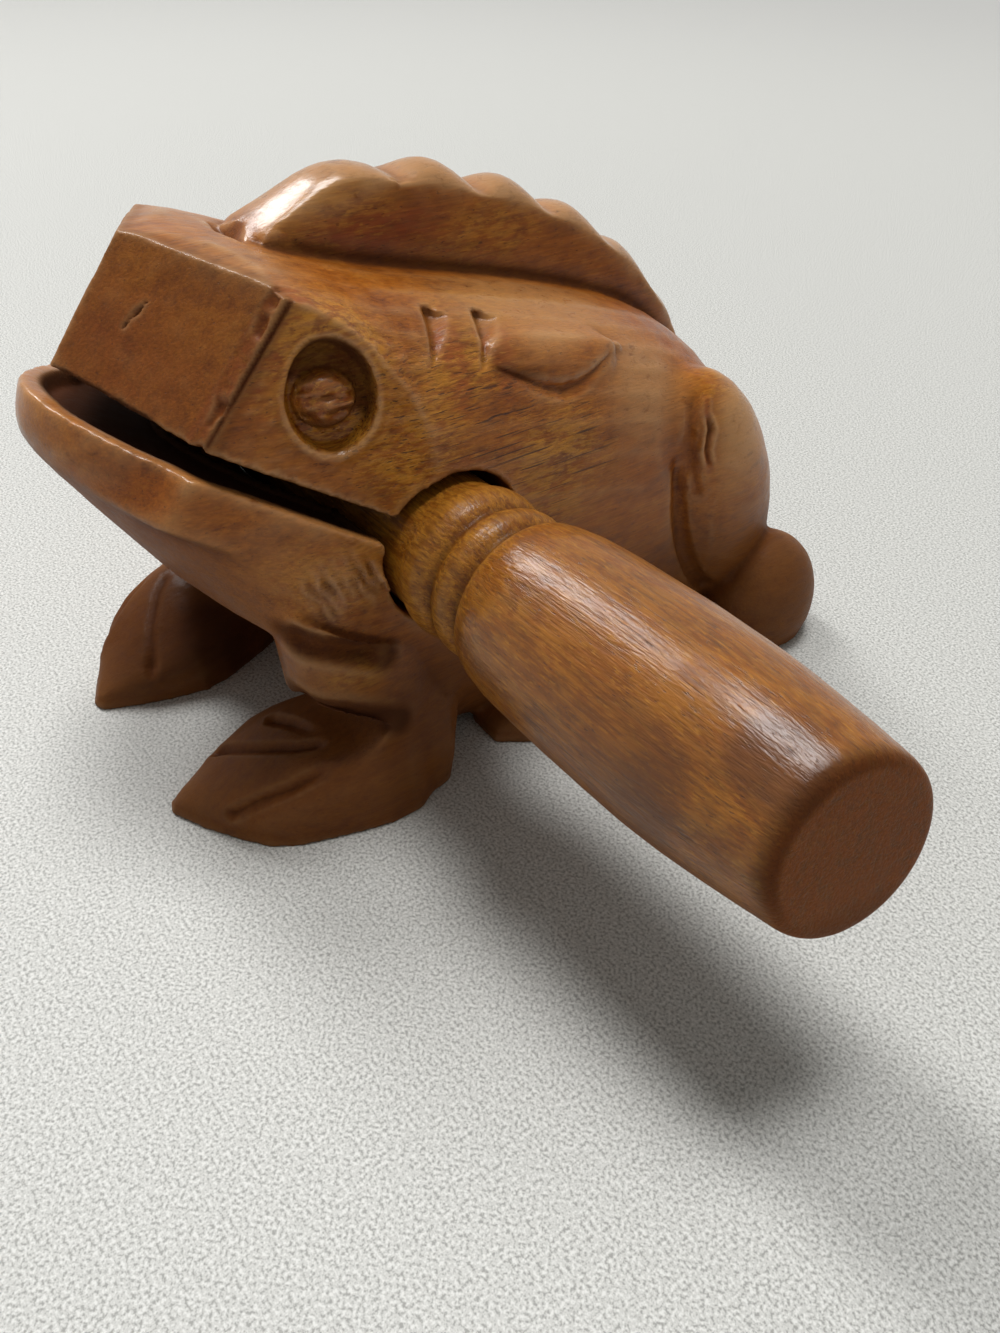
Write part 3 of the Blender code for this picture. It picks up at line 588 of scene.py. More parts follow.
def eye_levels(points, side):
    """Each point's place on the cheek round an eye: towards the back, up, outward, and its share of
    the socket. The last value is the cheek's outward way."""
    flip = np.array((side, 1, 1))
    out = CHEEK_OUT * flip
    out = out / np.linalg.norm(out)
    up = np.array((0.0, 0.0, 1.0))
    up = up - out * (up @ out)
    up /= np.linalg.norm(up)
    back = np.cross(up, out) * side
    gap = points - EYE_PLACE * flip
    u, v, w = gap @ back, gap @ up, gap @ out
    return u, v, w, np.hypot(u / EYE_HALF_WIDTH, v / EYE_HALF_HEIGHT), out


def eye_dome(u, v):
    """1 in the middle of the eye's dome, and 0 at its edge."""
    return 1 - np.hypot((u + DOME_SHIFT) / DOME_HALF_WIDTH, (v + DOME_SHIFT) / DOME_HALF_HEIGHT) ** 2


def above_back(points):
    """How far each point is above the back beside the crest."""
    return points[:, 2] - np.interp(points[:, 1], BACK_PLACES, BACK_HEIGHTS)


def in_zone(points, zone):
    """1 inside a zone, 0 outside, and smooth between."""
    values = dict(zip("xyz", points.T), above=above_back(points))
    values["run"], values["level"] = mouth_levels(points)
    share = np.ones(len(points))
    for name, outside, inside in zone:
        share *= smoothstep(values[name], outside, inside)
    return share


def round_edges(carving, left):
    """Rounds the lower lip, the valleys beside the crest, the worn cuts and the cheek under the mouth,
    and fades out the top of the thigh's groove."""
    carving.relax(LIP_ROUNDS, in_zone(left, LIP_EDGE))
    carving.relax(VALLEY_ROUNDS, in_zone(left, CREST_VALLEY))
    cuts = [share * near_line(left, path, far, near) for path, share, far, near in WORN_CUTS]
    carving.soften(CUT_ROUNDS, np.maximum.reduce(cuts))
    carving.soften(GROOVE_TOP_ROUNDS, near_line(left, THIGH_TOP, 5.5, 3.0))
    carving.relax(CHEEK_ROUNDS, in_zone(left, LOWER_CHEEK))


def round_limbs(carving, left):
    """Rounds feet and legs, but not the grooves in them, and most of all the heels of the front feet."""
    raised = in_zone(left, OFF_FLOOR)
    carving.soften(FOOT_ROUNDS, 0.9 * in_zone(left, FRONT_FOOT) * raised)
    kept = [near_line(left, THIGH_GROOVE, 3.5, 2.0)]
    kept += [0.7 * near_line(left, fold, 3.5, 2.0) for fold in ARM_FOLDS]
    legs = np.maximum(in_zone(left, HIND_LEG), in_zone(left, FRONT_LEG))
    carving.soften(LEG_ROUNDS, 0.9 * legs * (1 - np.maximum.reduce(kept)) * raised)
    heel = smoothstep(np.linalg.norm((left - FOOT_HEEL) * (1.0, 1.0, 0.6), axis=1), 8.0, 4.5)
    heights = carving.points[:, 2].copy()
    carving.soften(HEEL_ROUNDS, heel)
    carving.points[:, 2] += (heights - carving.points[:, 2]) * smoothstep(heights, 2.0, 0.3)


def flatten_crest(carving):
    """Flat facets across the crest's humps, with an edge along each side."""
    points = carving.points
    ridge = np.abs(points[:, 0]) < RIDGE_HALF
    stations = np.arange(CREST_FROM, CREST_TO, RIDGE_STEP)
    tops = [points[ridge & (np.abs(points[:, 1] - y) < RIDGE_REACH), 2].max() for y in stations]
    tops = np.pad(tops, RIDGE_MEAN // 2, mode="edge")
    tops = np.convolve(tops, np.full(RIDGE_MEAN, 1 / RIDGE_MEAN), "valid")
    drop = np.interp(points[:, 1], stations, tops) - points[:, 2]
    on_crest = smoothstep(np.abs(points[:, 0]), 4.6, 4.0) * smoothstep(drop, 5.0, 2.2)
    on_crest *= smoothstep(points[:, 1], CREST_FROM, CREST_FROM + CREST_FADE_IN)
    on_crest *= smoothstep(points[:, 1], CREST_TO, CREST_TO - CREST_FADE_OUT)
    share = np.where(points[:, 1] < FIRST_HUMP_END, FIRST_FLATTER, CREST_FLATTER)
    points[:, 2] += share * np.clip(drop, 0, FLATTER_DEPTH) * on_crest


def carve_eyes(carving):
    """Sinks each socket, raises its rim and leaves a rough dome on its floor."""
    for side in (1, -1):
        u, v, w, rho, out = eye_levels(carving.points, side)
        near = np.flatnonzero((rho < EYE_REACH) & (np.abs(w) < EYE_CARVED))
        u, v, w, rho = u[near], v[near], w[near], rho[near]
        flat = np.stack([u, v, np.full(len(u), 7.0 * side)], axis=1)
        rho = rho * (1 + EYE_RAGGED * noise(flat, (2.2, 2.2, 1), 11))
        height = -EYE_FLOOR * smoothstep(rho, 1.0, EYE_WALL)
        height += EYE_RIM_RISE * np.exp(-(((rho - EYE_RIM) / EYE_RIM_WIDTH) ** 2))
        dome = eye_dome(u, v)
        strokes = noise(flat, (2.6, 0.75, 1), 12) + 0.6 * noise(flat, (1.1, 0.45, 1), 13)
        button = DOME_RISE * np.sqrt(np.clip(dome, 0, 1))
        button += DOME_STROKES * strokes * smoothstep(dome, 0.0, 0.3)
        height += np.where(dome > 0, button, FLOOR_STROKES * strokes * smoothstep(rho, 0.95, 0.85))
        carving.points[near] += out * ((height - w) * smoothstep(rho, *EYE_BLEND))[:, None]


def hollow_mouth(carving):
    """A shallow hollow behind the lower lip's rim. Gives the points inside the mouth."""
    level = mouth_levels(carving.points)[1]
    inset = lip_inset(carving.points)
    inside = smoothstep(inset, 1.6, 2.4) * in_zone(carving.points, MOUTH_SLOT)
    floor = smoothstep(np.abs(level + LIP_TOP), 0.5, 0.2)
    carving.push(-LIP_HOLLOW * floor * smoothstep(inset, 2.3, 3.2))
    return inside


def vee(gap, half_width, depth, lip=0.0):
    """The depth of a V-shaped cut, with lips raised beside it."""
    cut = -depth * np.clip(1 - gap / half_width, 0, 1)
    return cut + lip * np.exp(-(((gap - 1.6 * half_width) / (0.6 * half_width)) ** 2))


def shoulder_swelling(left):
    """A leaf-shaped shoulder above its crease."""
    gap, share = along_line(left, LEAF)
    half = LEAF_HALF_WIDTH * np.sqrt(np.clip(1 - np.abs(2 * share - 0.9) ** 2.2, 0.05, 1))
    return LEAF_RISE * smoothstep(gap, half * 1.9, 0.0)


def thigh_slit(points, left):
    """A ragged slit between raised lips in front of each thigh."""
    gap, share = along_line(left, SLIT)
    ends = smoothstep(share, 0.0, 0.12) * smoothstep(share, 1.0, 0.85)
    gap = gap + 0.10 * noise(points, (1.2, 1.2, 1.2), 25)
    return vee(gap, half_width=0.5, depth=0.7, lip=0.18) * ends


def limb_folds(points, left):
    """The fold along the front of each thigh, the folds of the arms, and the lines between the toes."""
    gap, share = along_line(left, THIGH_EDGE)
    amount = vee(gap, half_width=1.0, depth=0.4, lip=0.08) * smoothstep(share, 0.0, 0.3)
    for fold in ARM_FOLDS:
        gap, share = along_line(left, fold)
        ends = smoothstep(share, 0.0, 0.12) * smoothstep(share, 1.0, 0.7)
        amount += vee(gap, half_width=2.2, depth=1.1) * ends
    for toe, fade, far in zip(TOES, TOE_FADES, TOE_FAR):
        gap, share = along_line(left, toe)
        foot = np.where(points[:, 0] > 0, 1.0, far)
        amount += vee(gap, half_width=1.1, depth=0.85) * smoothstep(share, 1.0, fade) * foot
    return amount


def chipped_edge(points, left):
    """The chipped band on the snout's side of each arris, and the knife's line along it."""
    gap, share = along_line(left, ARRIS)
    on_snout = smoothstep((left - ARRIS[0]) @ CHEEK_OUT, -0.02, -0.25)
    width = BAND_WIDTH - BAND_TAPER * share + BAND_RAGGED * noise(points, (2.0, 2.0, 2.0), 26)
    band = smoothstep(gap, width, width - 0.4) * on_snout * smoothstep(share, -0.02, 0.06)
    chips = smoothstep(noise(points, (0.9, 1.6, 1.2), 21), -0.2, 0.8)
    return vee(gap, half_width=0.30, depth=0.3) - band * (BAND_DEPTH + CHIP_DEPTH * chips)


def snout_nick(points):
    """A nick in the left side of the snout."""
    gap, share = along_line(points, NICK)
    gap = gap + 0.08 * noise(points, (0.6, 0.6, 0.6), 22)
    return vee(gap, half_width=0.08 + 0.24 * np.sin(math.pi * share) ** 2, depth=0.5)


def cheek_strokes(points, left):
    """Short strokes of the knife round the eyes and over the cheeks."""
    gap = np.linalg.norm((left - EYE_PLACE) / (1.0, 1.4, 1.0), axis=1)
    cheek = smoothstep(gap, 9.5, 5.0) * smoothstep((left - ARRIS[0]) @ SNOUT_OUT, -0.3, -0.9)
    return CHEEK_STROKES * cheek * noise(points, (0.7, 2.0, 0.6), 27)


def jaw_chatter(points, left):
    """Chatter of the knife on the corner of the jaw."""
    zone = smoothstep(np.linalg.norm((left - JAW_CORNER) * (0.6, 0.8, 1.0), axis=1), 5.2, 2.0)
    wave = np.sin(left[:, 1] * 4.6 + 2.2 * left[:, 2] + 2.5 * noise(points, (2.0, 2.0, 2.0), 23))
    return JAW_CHATTER * zone * wave * smoothstep(noise(points, (1.6, 2.4, 1.6), 24), -0.4, 0.5)


def carve_marks(carving):
    """The cuts and swellings of the knife that the CAD solid leaves out."""
    points = carving.points
    left = carving.mirrored()
    amount = shoulder_swelling(left) + thigh_slit(points, left) + limb_folds(points, left)
    amount += chipped_edge(points, left) + snout_nick(points)
    amount += cheek_strokes(points, left) + jaw_chatter(points, left)
    carving.push(amount)


def carve_surface(carving):
    """The unevenness of a surface pared with a knife and sanded a little."""
    points = carving.points
    bent = points + WAVE_HEIGHT * np.sin(points[:, [2, 0, 1]] * WAVE_TURN + WAVE_SHIFTS)
    bent = bent @ SURFACE_TURN
    amount = np.zeros(len(points))
    for depth, across, length, seed in UNEVENNESS:
        amount += depth * noise(bent, (across, length, across), seed)
    carving.push(amount * in_zone(points, UNEVEN_FROM))


def paint_eye_shade_and_light(points, layers):
    """A ring with painted shadow above and painted light, in gold, below, round a red dome."""
    for side in (1, -1):
        u, v, w, rho, _ = eye_levels(points, side)
        on_eye = np.abs(w) < EYE_STAINED
        ring = smoothstep(rho, 1.02, 0.9) * smoothstep(eye_dome(u, v), 0.12, -0.12) * on_eye
        upper = smoothstep((0.55 * u + 0.83 * v) / (np.hypot(u, v) + 0.1), -0.4, 0.5)
        dome = smoothstep(eye_dome(u, v), 0.0, 0.4) * on_eye
        # Painted shadow on the ring's upper part and painted light, in gold, on its lower part; the dome
        # kept lighter.
        layers["pooled_stain_and_shade"] *= 1 - 0.8 * ring * (1 - upper)
        layers["pooled_stain_and_shade"] += 1.1 * ring * upper
        layers["pooled_stain_and_shade"] *= 1 - 0.5 * dome
        layers["gilt_and_highlight"] += ring * (1 - upper)
        layers["ruddy"] += 0.9 * dome
        layers["wear_and_highlight"] *= 1 - 0.6 * dome


def paint_cut_shade_and_chips(left, layers):
    """Painted shade along the arris, the crease and the arm's folds, and red wood where chips came off."""
    gap = along_line(left, ARRIS)[0]
    on_snout = smoothstep((left - ARRIS[0]) @ CHEEK_OUT, -0.02, -0.2)
    # Painted shade in the knife's line along the arris.
    layers["pooled_stain_and_shade"] += 0.8 * smoothstep(gap, 0.45, 0.2)
    layers["ruddy"] += 0.8 * smoothstep(gap, 2.8, 2.0) * on_snout
    layers["ruddy"] += near_line(left, SLIT, 0.9, 0.3)
    for gouge in GOUGES:
        layers["ruddy"] += 0.7 * near_line(left, gouge, 2.2, 1.2)
    gap, share = along_line(left, CREASE)
    ends = smoothstep(share, 0.0, 0.1) * smoothstep(share, 1.0, 0.7)
    # Painted shade along the crease under the shoulder's swelling.
    layers["pooled_stain_and_shade"] += 0.7 * smoothstep(gap, 1.2, 0.4) * ends
    # Painted shadow in the arm's folds.
    for fold in ARM_FOLDS:
        layers["pooled_stain_and_shade"] += 1.1 * near_line(left, fold, 2.8, 0.8)


def paint_low_and_under_shade(points, left, upward, mouth, layers):
    """Painted shade low down, under the chin, in the mouth and on the snout, and on the right front foot.
    """
    # Painted shade low down, under the chin, on faces turned down at the front, in the mouth and on the
    # snout.
    front = in_zone(left, FRONT_HALF)
    under = 0.8 * smoothstep(-upward, -0.1, 0.4) * front
    snout = 0.5 * smoothstep((left - ARRIS[0]) @ SNOUT_OUT, -0.6, -0.2) * in_zone(left, SNOUT_TOP)
    layers["dark_stain_and_shade"] = np.maximum.reduce([in_zone(left, LOW_DOWN), under, mouth, snout])
    # Painted shade on the right front foot, under the head.
    layers["pooled_stain_and_shade"] += patches(points, FAR_FOOT_SHADE)
    layers["pooled_stain_and_shade"] += 0.5 * smoothstep(-upward, 0.2, 0.7) * front


def paint_frog(mesh, carving, mouth):
    """Where the stain is dark in hollows, with painted shade, rubbed off on edges, with painted
    highlights, golden, red, dim with painted shade, or polished, and where the wood was cut roughly."""
    left = carving.mirrored()
    upward = carving.outward()[:, 2]
    above = above_back(left)
    fine = carving.bend(4)
    broad = carving.bend(50)
    groove_top = patches(left, GROOVE_TOP)
    layers = {name: patches(left, spots) for name, spots in STAIN_AND_HIGHLIGHT_PATCHES.items()}
    # Convex edges lighter: worn, and partly a painted highlight.
    edges = np.clip(fine / 0.07, 0, 1) * 0.8 + np.clip(broad / 0.8, 0, 1) * 0.4
    layers["wear_and_highlight"] += edges * (1 - 0.9 * groove_top)
    # Concave places darker: pooled stain and painted shade, with painted shade in the mouth and the
    # crest's valleys.
    pooled_stain_and_shade = np.clip(-fine / 0.12, 0, 1) * 0.7 + np.clip(-broad / 0.7, 0, 1) * 0.7
    valley_shade = smoothstep(np.abs(above), 2.4, 1.2) * smoothstep(left[:, 0], 7.5, 6.0) * (left[:, 1] > -25)
    layers["pooled_stain_and_shade"] = pooled_stain_and_shade + 1.4 * mouth + 0.5 * valley_shade * np.clip(-broad / 0.3, 0, 1)
    paint_eye_shade_and_light(carving.points, layers)
    paint_cut_shade_and_chips(left, layers)
    paint_low_and_under_shade(carving.points, left, upward, mouth, layers)

    on_top = smoothstep(above, 1.5, 3.5) * (left[:, 0] < 5) * (left[:, 1] > -27)
    facing_up = smoothstep(upward, 0.2, 0.6)
    # Painted highlight, with wear, on the crest's humps where they face up.
    layers["wear_and_highlight"] += 0.55 * on_top * facing_up
    polish = 1 + patches(left, JAW_MARKS) - 0.75 * layers["dark_stain_and_shade"] + on_top * (1.6 * facing_up - 0.6)
    polish += 0.7 * np.clip(fine / 0.09, 0, 1) * (1 - layers["dark_stain_and_shade"])
    for name in ("wear_and_highlight", "pooled_stain_and_shade"):
        layers[name] = carving.spread(layers[name])
    for name, values in layers.items():
        paint(mesh, name, np.clip(values, 0, 1))
    paint(mesh, "polish", polish * (1 - 0.8 * groove_top))


def carved_frog():
    """The frog's solid, carved and stained, with painted light and shade."""
    mesh, tree = remeshed(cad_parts["frog_body"], "frog_carving")
    carving = Carving(mesh)
    carving.settle(tree)
    carving.store(mesh)
    refine(mesh, carving)
    carving = Carving(mesh)
    carving.settle(tree)
    carving.steady()
    left = carving.mirrored()
    round_edges(carving, left)
    round_limbs(carving, left)
    carve_marks(carving)
    carve_surface(carving)
    carve_eyes(carving)
    mouth = hollow_mouth(carving)
    flatten_crest(carving)
    carving.points[:, 2] = np.maximum(carving.points[:, 2], 0)
    carving.store(mesh)
    paint_frog(mesh, carving, mouth)
    return placed("frog_carving", mesh)


def turned_outline(node):
    """The striker's outline along X, from tip to end, and the middle of its axis: millimetres."""
    low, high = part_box(node)
    middle = (np.array(low) + np.array(high)) / 2 / MM
    places = np.array([vertex.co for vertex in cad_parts[node].data.vertices]) / MM
    radius = np.hypot(places[:, 1] - middle[1], places[:, 2] - middle[2])
    stations = np.round(places[:, 0], 3)
    outline = [(x, radius[stations == x].max()) for x in np.unique(stations) if x < COLLAR[0][0]]
    outline += COLLAR + BEAD + SHOULDER + BARREL
    for turn in np.linspace(0, math.pi / 2, END_ROUND_STEPS + 1):
        inset = END_ROUND * (1 - math.cos(turn))
        outline.append((STICK_END - END_ROUND * (1 - math.sin(turn)), END_RADIUS - inset))
    outline = [(outline[0][0], 0.0)] + outline + [(STICK_END, 0.0)]
    return np.array(outline), middle


def eased(values, times):
    """Values averaged with the ones beside them, with both ends kept."""
    values = values.copy()
    for _ in range(times):
        values[1:-1] = (values[:-2] + 2 * values[1:-1] + values[2:]) / 4
    return values


def even_steps(outline):
    """Places along the axis and radii at even steps along an outline, with its corners eased."""
    run = np.concatenate([[0], np.cumsum(np.hypot(*np.diff(outline, axis=0).T))])
    keep = np.concatenate([[True], np.diff(run) > 1e-6])
    steps = np.linspace(0, run[-1], int(run[-1] / STICK_STEP))
    return [eased(np.interp(steps, run[keep], outline[keep, k]), STICK_SOFTEN) for k in range(2)]


def turned_points(x, r):
    """Rings of points round the X axis, a little uneven, and then the middle of each end."""
    angles = np.linspace(0, 2 * math.pi, STICK_SEGMENTS, endpoint=False)
    rings = np.empty((len(x), STICK_SEGMENTS, 3))
    rings[:, :, 0] = x[:, None]
    rings[:, :, 1] = np.cos(angles) * r[:, None]
    rings[:, :, 2] = np.sin(angles) * r[:, None]
    points = rings.reshape(-1, 3)
    uneven = 1 + 0.008 * noise(points, (16, 7, 7), 41) + 0.004 * noise(points, (5, 3, 3), 42)
    points[:, 1:] *= uneven[:, None]
    return np.concatenate([points, [(x[0], 0, 0), (x[-1], 0, 0)]])


def turned_mesh(name, points, rings):
    """A closed, smooth mesh over the points of a turning."""
    faces = []
    for i in range(rings - 1):
        for j in range(STICK_SEGMENTS):
            k = (j + 1) % STICK_SEGMENTS
            a, b = i * STICK_SEGMENTS, (i + 1) * STICK_SEGMENTS
            faces.append((a + j, a + k, b + k, b + j))
    first, last = len(points) - 2, len(points) - 1
    end = (rings - 1) * STICK_SEGMENTS
    for j in range(STICK_SEGMENTS):
        k = (j + 1) % STICK_SEGMENTS
        faces.append((first, k, j))
        faces.append((last, end + j, end + k))
    mesh = bpy.data.meshes.new(name)
    mesh.from_pydata(points * MM, [], faces)
    mesh.update()
    with edited(mesh) as bm:
        bmesh.ops.recalc_face_normals(bm, faces=bm.faces)
    mesh.polygons.foreach_set("use_smooth", np.ones(len(mesh.polygons), bool))
    return mesh


def paint_striker(mesh, points, stand, from_end, across, skew, below):
    """A worn collar, grooves dark with pooled stain and painted shade, a smoked handle, a red sawn end
    with a painted shadow round its rim, and painted shade on the underside.
    """
    face = smoothstep(from_end, 1.2, 0.2)
    # Painted shadow in a line round the sawn end's rim.
    rim = smoothstep(across, 7.4, 8.2) * smoothstep(from_end, 2.6, 0.8) * smoothstep(skew, 0.3, 0.9)
    smoke = smoothstep(noise(points, (9, 5, 5), 43), 0.0, 0.6) * smoothstep(from_end, 34.0, 8.0)
    collar = smoothstep(points[:, 0], 38.0, 35.0)
    # Painted shade on the underside.
    under = smoothstep(below, 0.2, 0.9)
    # Wear on the ridges; pooled stain and painted shade in the grooves and round the end.
    paint(mesh, "wear_and_highlight", np.clip(stand, 0, 1) * (1 - face) * 0.5)
    paint(mesh, "pooled_stain_and_shade", np.clip(-stand, 0, 1) * (1 - face) * 0.9 + 0.7 * rim)
    paint(mesh, "gilt_and_highlight", (0.35 + 0.25 * collar) * (1 - face) * (1 - 0.6 * smoke))
    paint(mesh, "ruddy", 0.30 + 0.70 * face - 0.1 * collar)
    paint(mesh, "scored", np.full(len(points), 0.3))
    # Darker from smoke and on the sawn end, with painted shade on the underside.
    paint(mesh, "dark_stain_and_shade", np.maximum.reduce([0.85 * smoke, 0.35 * face, 0.8 * under]))
    paint(mesh, "polish", 0.1 + 1.6 * (1 - face) * (1 - 0.8 * under) * (1 - 0.6 * collar))


def turned_striker():
    """The stick as it was turned, with its end sawn askew, and stained, with painted shade."""
    outline, middle = turned_outline("striker")
    x, r = even_steps(outline)
    stand = (r - eased(r, GROOVE_SPREAD))[1:-1] / GROOVE_DEPTH
    points = turned_points(x[1:-1], r[1:-1])
    from_end = STICK_END - points[:, 0]
    across = np.hypot(points[:, 1], points[:, 2])
    below = -points[:, 2] / END_RADIUS
    skew = (points[:, 1:] @ END_SKEW_WAY / END_RADIUS + 1) / 2
    points[:, 0] -= END_SKEW * skew * smoothstep(from_end, END_SKEW_FROM, 0.0)
    points[:, 1:] += middle[1:]
    mesh = turned_mesh("striker_turning", points, len(stand))
    stand = np.concatenate([np.repeat(stand, STICK_SEGMENTS), [0, 0]])
    paint_striker(mesh, points, stand, from_end, across, skew, below)
    return placed("striker_turning", mesh)


class Shader:
    """Builds one node material in short calls."""

    def __init__(self, name):
        self.material = bpy.data.materials.new(name)
        self.material.use_nodes = True
        self.tree = self.material.node_tree
        self.surface = self.tree.nodes["Principled BSDF"]
        coordinates = self.tree.nodes.new("ShaderNodeTexCoord")
        self.place = coordinates.outputs["Object"]

    def node(self, kind, inputs=None, **settings):
        node = self.tree.nodes.new("ShaderNode" + kind)
        for key, value in settings.items():
            setattr(node, key, value)
        for key, value in (inputs or {}).items():
            self.feed(node.inputs[key], value)
        return node

    def feed(self, socket, value):
        """Links a socket to a node's output, or sets it to a plain value."""
        if isinstance(value, bpy.types.NodeSocket):
            self.tree.links.new(value, socket)
        else:
            socket.default_value = value

    def noise(self, size, detail, roughness, distortion=0.0, offset=0.0):
        """Noise whose lumps measure size along X, Y and Z, in millimetres."""
        scale = [1 / (length * MM) for length in size]
        moved = {"Vector": self.place, "Scale": scale, "Location": (offset, offset, offset)}
        texture = {"Vector": self.node("Mapping", moved).outputs[0], "Scale": 1.0, "Detail": detail}
        texture |= {"Roughness": roughness, "Distortion": distortion}
        return self.node("TexNoise", texture).outputs["Fac"]

    def ramp(self, value, low, high):
        """0 below low, 1 above high."""
        inputs = {"Value": value, "From Min": low, "From Max": high}
        return self.node("MapRange", inputs, interpolation_type="SMOOTHSTEP").outputs["Result"]

    def math(self, operation, a, b):
        return self.node("Math", {0: a, 1: b}, operation=operation).outputs[0]

    def times(self, a, b):
        return self.math("MULTIPLY", a, b)

    def total(self, *terms):
        """The sum of values, each times its weight."""
        first, *rest = [self.times(value, weight) for value, weight in terms]
        for term in rest:
            first = self.math("ADD", first, term)
        return first

    def mix(self, share, a, b, blend="MIX"):
        node = self.node("Mix", data_type="RGBA", blend_type=blend)
        self.feed(node.inputs[0], share)
        self.feed(node.inputs[6], a)
        self.feed(node.inputs[7], b)
        return node.outputs[2]

    def tint(self, colour, share, strength, tone):
        """A colour mixed with a tone, by share times strength."""
        return self.mix(self.times(share, strength), colour, tone)

    def painted(self, name):
        return self.node("Attribute", attribute_name=name).outputs["Fac"]


def wood_colour(shader, field, dark, middle, light, gold, red, rubbed_and_lit):
    """Clouded stain with golden and red patches, then pores, cuts, worn edges with painted highlights, and
    dark hollows with painted shade.
    """
    mottle = field["mottle"]
    tone = shader.total((field["clouds"], 0.45), (field["bands"], 0.20), (mottle, 0.35))
    leaf = shader.total((field["patches"], 0.5), (field["strokes"], 0.5))
    gilt_and_highlight_share = shader.times(shader.painted("gilt_and_highlight"), shader.ramp(leaf, 0.42, 0.58))
    flush = shader.times(shader.painted("ruddy"), shader.ramp(mottle, 0.25, 0.60))
    shade = shader.math("ADD", shader.times(shader.ramp(field["fibres"], 0.25, 0.75), 0.40), 0.80)
    grey = shader.node("CombineColor", {0: shade, 1: shade, 2: shade}).outputs[0]
    glint = shader.math("ADD", shader.times(shader.painted("gilt_and_highlight"), 0.45), 0.12)
    worn_and_lit = shader.times(shader.painted("wear_and_highlight"), shader.ramp(mottle, 0.12, 0.45))

    colour = shader.mix(shader.ramp(tone, 0.32, 0.56), dark, middle)
    colour = shader.tint(colour, shader.ramp(tone, 0.50, 0.66), 0.6, light)
    # Golden patches, partly painted highlights.
    colour = shader.tint(colour, gilt_and_highlight_share, 0.8, gold)
    colour = shader.tint(colour, flush, 0.75, red)
    colour = shader.mix(1.0, colour, grey, "MULTIPLY")
    colour = shader.tint(colour, field["flecks"], glint, gold)
    colour = shader.tint(colour, field["pores"], 0.55, PORE_COLOUR)
    colour = shader.tint(colour, field["scores"], 0.85, SCORE_COLOUR)
    # Worn edges and painted highlights lighten the wood.
    colour = shader.tint(colour, worn_and_lit, 0.65, rubbed_and_lit)
    # Painted shade over darker stain, then pooled stain with painted shade in hollows.
    colour = shader.tint(colour, shader.painted("dark_stain_and_shade"), 0.75, DARK_STAIN_AND_SHADE_COLOUR)
    colour = shader.tint(colour, shader.painted("pooled_stain_and_shade"), 0.75, POOLED_STAIN_AND_SHADE_COLOUR)
    shader.feed(shader.surface.inputs["Base Color"], colour)


def wood_gloss(shader, field):
    """A thin wax over the wood, more where it is polished, none where pooled stain and shade are painted.
    """
    wear_and_highlight, pooled_stain_and_shade, dark_stain_and_shade = (shader.painted(name) for name in ("wear_and_highlight", "pooled_stain_and_shade", "dark_stain_and_shade"))
    uneven = shader.ramp(field["mottle"], 0.2, 0.8)
    rough = shader.total((uneven, 0.22), (wear_and_highlight, -0.10), (pooled_stain_and_shade, 0.25), (dark_stain_and_shade, 0.20))
    waxed = shader.times(shader.painted("polish"), WAX)
    waxed = shader.times(waxed, shader.math("SUBTRACT", 1.0, pooled_stain_and_shade))
    gloss = {"Roughness": shader.math("ADD", rough, 0.30), "Specular IOR Level": WOOD_SHINE}
    gloss |= {"Coat Weight": waxed, "Coat Roughness": WAX_ROUGHNESS}
    for name, value in gloss.items():
        shader.feed(shader.surface.inputs[name], value)


def wood_grain(shader, field, relief):
    """Fibres, pores and the knife's strokes as bumps, which also show in the wax."""
    cuts = shader.times(shader.painted("scored"), shader.ramp(field["strokes"], 0.30, 0.70))
    fibres = ((field["fibres"], 0.8), (field["pores"], -0.6), (field["mottle"], 0.7))
    height = shader.total(*fibres, (field["scores"], -0.9), (cuts, 1.3))
    for socket, strength in (("Normal", WOOD_GRAIN), ("Coat Normal", WAX_GRAIN)):
        bump = shader.node("Bump", {"Height": height, "Strength": strength, "Distance": relief * MM})
        shader.feed(shader.surface.inputs[socket], bump.outputs[0])


def wood_stain_and_painted_light(name, along, relief, **colours):
    """Stained, waxed wood with painted light and shade, whose fibres run along one axis: 0 for X, 1 for Y.
    """
    shader = Shader(name)
    field = {}
    for kind, (across, length, *settings) in WOOD_NOISE.items():
        size = [across] * 3
        size[along] = length
        field[kind] = shader.noise(size, *settings)
    for kind, (low, high) in WOOD_MARKS.items():
        field[kind] = shader.ramp(field[kind], low, high)
    field["scores"] = shader.times(field["scores"], shader.painted("scored"))
    wood_colour(shader, field, **colours)
    wood_gloss(shader, field)
    wood_grain(shader, field, relief)
    return shader.material


def seen(tree):
    """1 for rays that show the background: straight, mirrored or through glass."""
    rays = tree.nodes.new("ShaderNodeLightPath")
    total = rays.outputs["Is Camera Ray"]
    for kind in ("Is Glossy Ray", "Is Transmission Ray"):
        larger = tree.nodes.new("ShaderNodeMath")
        larger.operation = "MAXIMUM"
        tree.links.new(total, larger.inputs[0])
        tree.links.new(rays.outputs[kind], larger.inputs[1])
        total = larger.outputs[0]
    return total


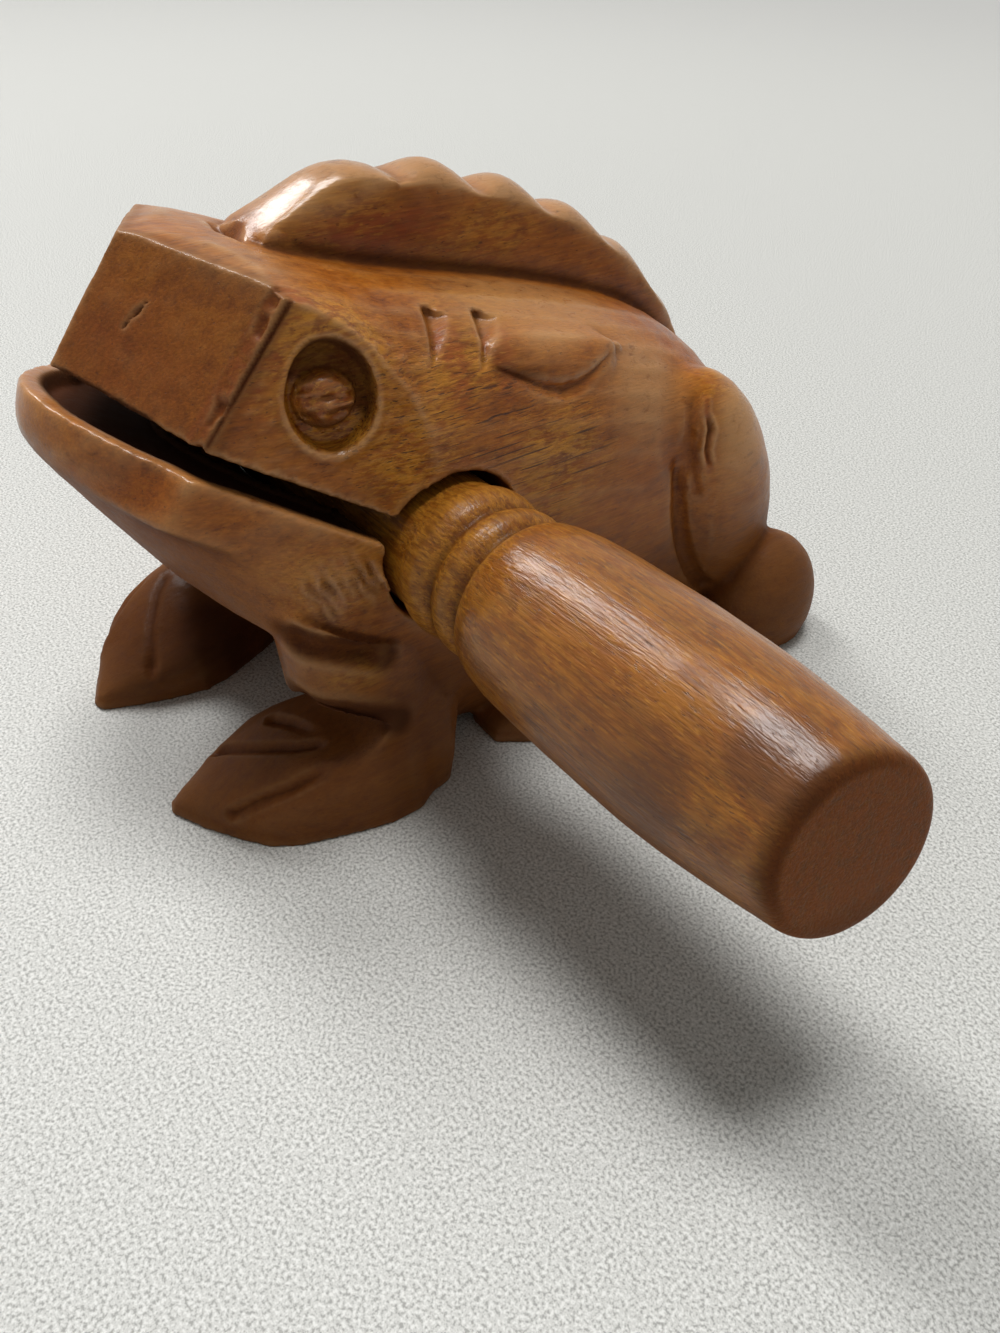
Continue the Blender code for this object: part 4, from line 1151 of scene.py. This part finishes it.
def pale_floor():
    """A speckled floor that turns into the background further out."""
    mesh = bpy.data.meshes.new("floor")
    corners = [(-FLOOR_HALF, -FLOOR_HALF, 0), (FLOOR_HALF, -FLOOR_HALF, 0)]
    corners += [(FLOOR_HALF, FLOOR_HALF, 0), (-FLOOR_HALF, FLOOR_HALF, 0)]
    mesh.from_pydata(corners, [], [(0, 1, 2, 3)])
    floor = placed("floor", mesh)
    shader = Shader("pale_floor")
    specks = shader.noise([FLOOR_SPECK] * 3, 2.0, 0.6)
    colour = shader.mix(shader.ramp(specks, 0.34, 0.50), FLOOR_DARK, FLOOR_MIDDLE)
    colour = shader.mix(shader.ramp(specks, 0.50, 0.66), colour, FLOOR_LIGHT)
    shader.feed(shader.surface.inputs["Base Color"], colour)
    shader.feed(shader.surface.inputs["Roughness"], FLOOR_ROUGHNESS)
    away = shader.node("VectorMath", {0: shader.place}, operation="LENGTH").outputs["Value"]
    share = shader.times(shader.ramp(away, *FLOOR_FADE), seen(shader.tree))
    pale = shader.node("Emission", {"Color": PALE, "Strength": BACKGROUND}).outputs[0]
    floor_look = shader.node("MixShader", {0: share, 1: shader.surface.outputs[0], 2: pale})
    shader.feed(shader.tree.nodes["Material Output"].inputs["Surface"], floor_look.outputs[0])
    floor.data.materials.append(shader.material)


def lamp(name, place, target, size, power):
    """A rectangular lamp that faces its target."""
    light = bpy.data.lights.new(name, "AREA")
    light.shape = "RECTANGLE"
    light.size, light.size_y = size
    light.energy = power
    aim = Vector(target) - Vector(place)
    turn = aim.to_track_quat("-Z", "Y").to_matrix().to_4x4()
    placed(name, light).matrix_world = Matrix.Translation(place) @ turn


def surroundings():
    """Pale surroundings, which look brighter than the light that they give."""
    world = bpy.data.worlds.new("surroundings")
    world.use_nodes = True
    nodes, links = world.node_tree.nodes, world.node_tree.links
    background = nodes["Background"]
    background.inputs["Color"].default_value = PALE
    place = nodes.new("ShaderNodeTexCoord")
    split = nodes.new("ShaderNodeSeparateXYZ")
    level = nodes.new("ShaderNodeMapRange")
    level.inputs["To Min"].default_value = HORIZON
    level.inputs["To Max"].default_value = ZENITH
    links.new(place.outputs["Generated"], split.inputs[0])
    links.new(split.outputs["Z"], level.inputs["Value"])
    look = nodes.new("ShaderNodeMix")
    look.inputs["B"].default_value = BACKGROUND
    links.new(seen(world.node_tree), look.inputs["Factor"])
    links.new(level.outputs["Result"], look.inputs["A"])
    links.new(look.outputs["Result"], background.inputs["Strength"])
    bpy.context.scene.world = world


def camera():
    """The photograph's camera."""
    azimuth, pitch, roll = (math.radians(v) for v in (CAMERA_AZIMUTH, CAMERA_PITCH, CAMERA_ROLL))
    ahead = Vector((-math.sin(azimuth), math.cos(azimuth), 0))
    forward = ahead * math.cos(pitch) - Vector((0, 0, math.sin(pitch)))
    level = Vector((math.cos(azimuth), math.sin(azimuth), 0))
    up = level.cross(forward)
    right = level * math.cos(roll) + up * math.sin(roll)
    up = up * math.cos(roll) - level * math.sin(roll)
    data = bpy.data.cameras.new("camera")
    data.lens = CAMERA_LENS
    data.clip_start = CAMERA_NEAR
    turn = Matrix((right, up, -forward)).transposed().to_4x4()
    bpy.context.scene.camera = placed("camera", data)
    bpy.context.scene.camera.matrix_world = Matrix.Translation(CAMERA_PLACE) @ turn


frog = carved_frog()
frog.data.materials.append(wood_stain_and_painted_light("frog_wood_stain_and_painted_light", 1, **FROG_WOOD))
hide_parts("frog_body")
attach(frog, "frog")

stick = turned_striker()
stick.data.materials.append(wood_stain_and_painted_light("striker_wood_stain_and_painted_light", 0, **STICK_WOOD))
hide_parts("striker")
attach(stick, "striker")

pale_floor()
for settings in LAMPS:
    lamp(*settings)
surroundings()
camera()
bpy.context.scene.view_settings.view_transform = "Standard"
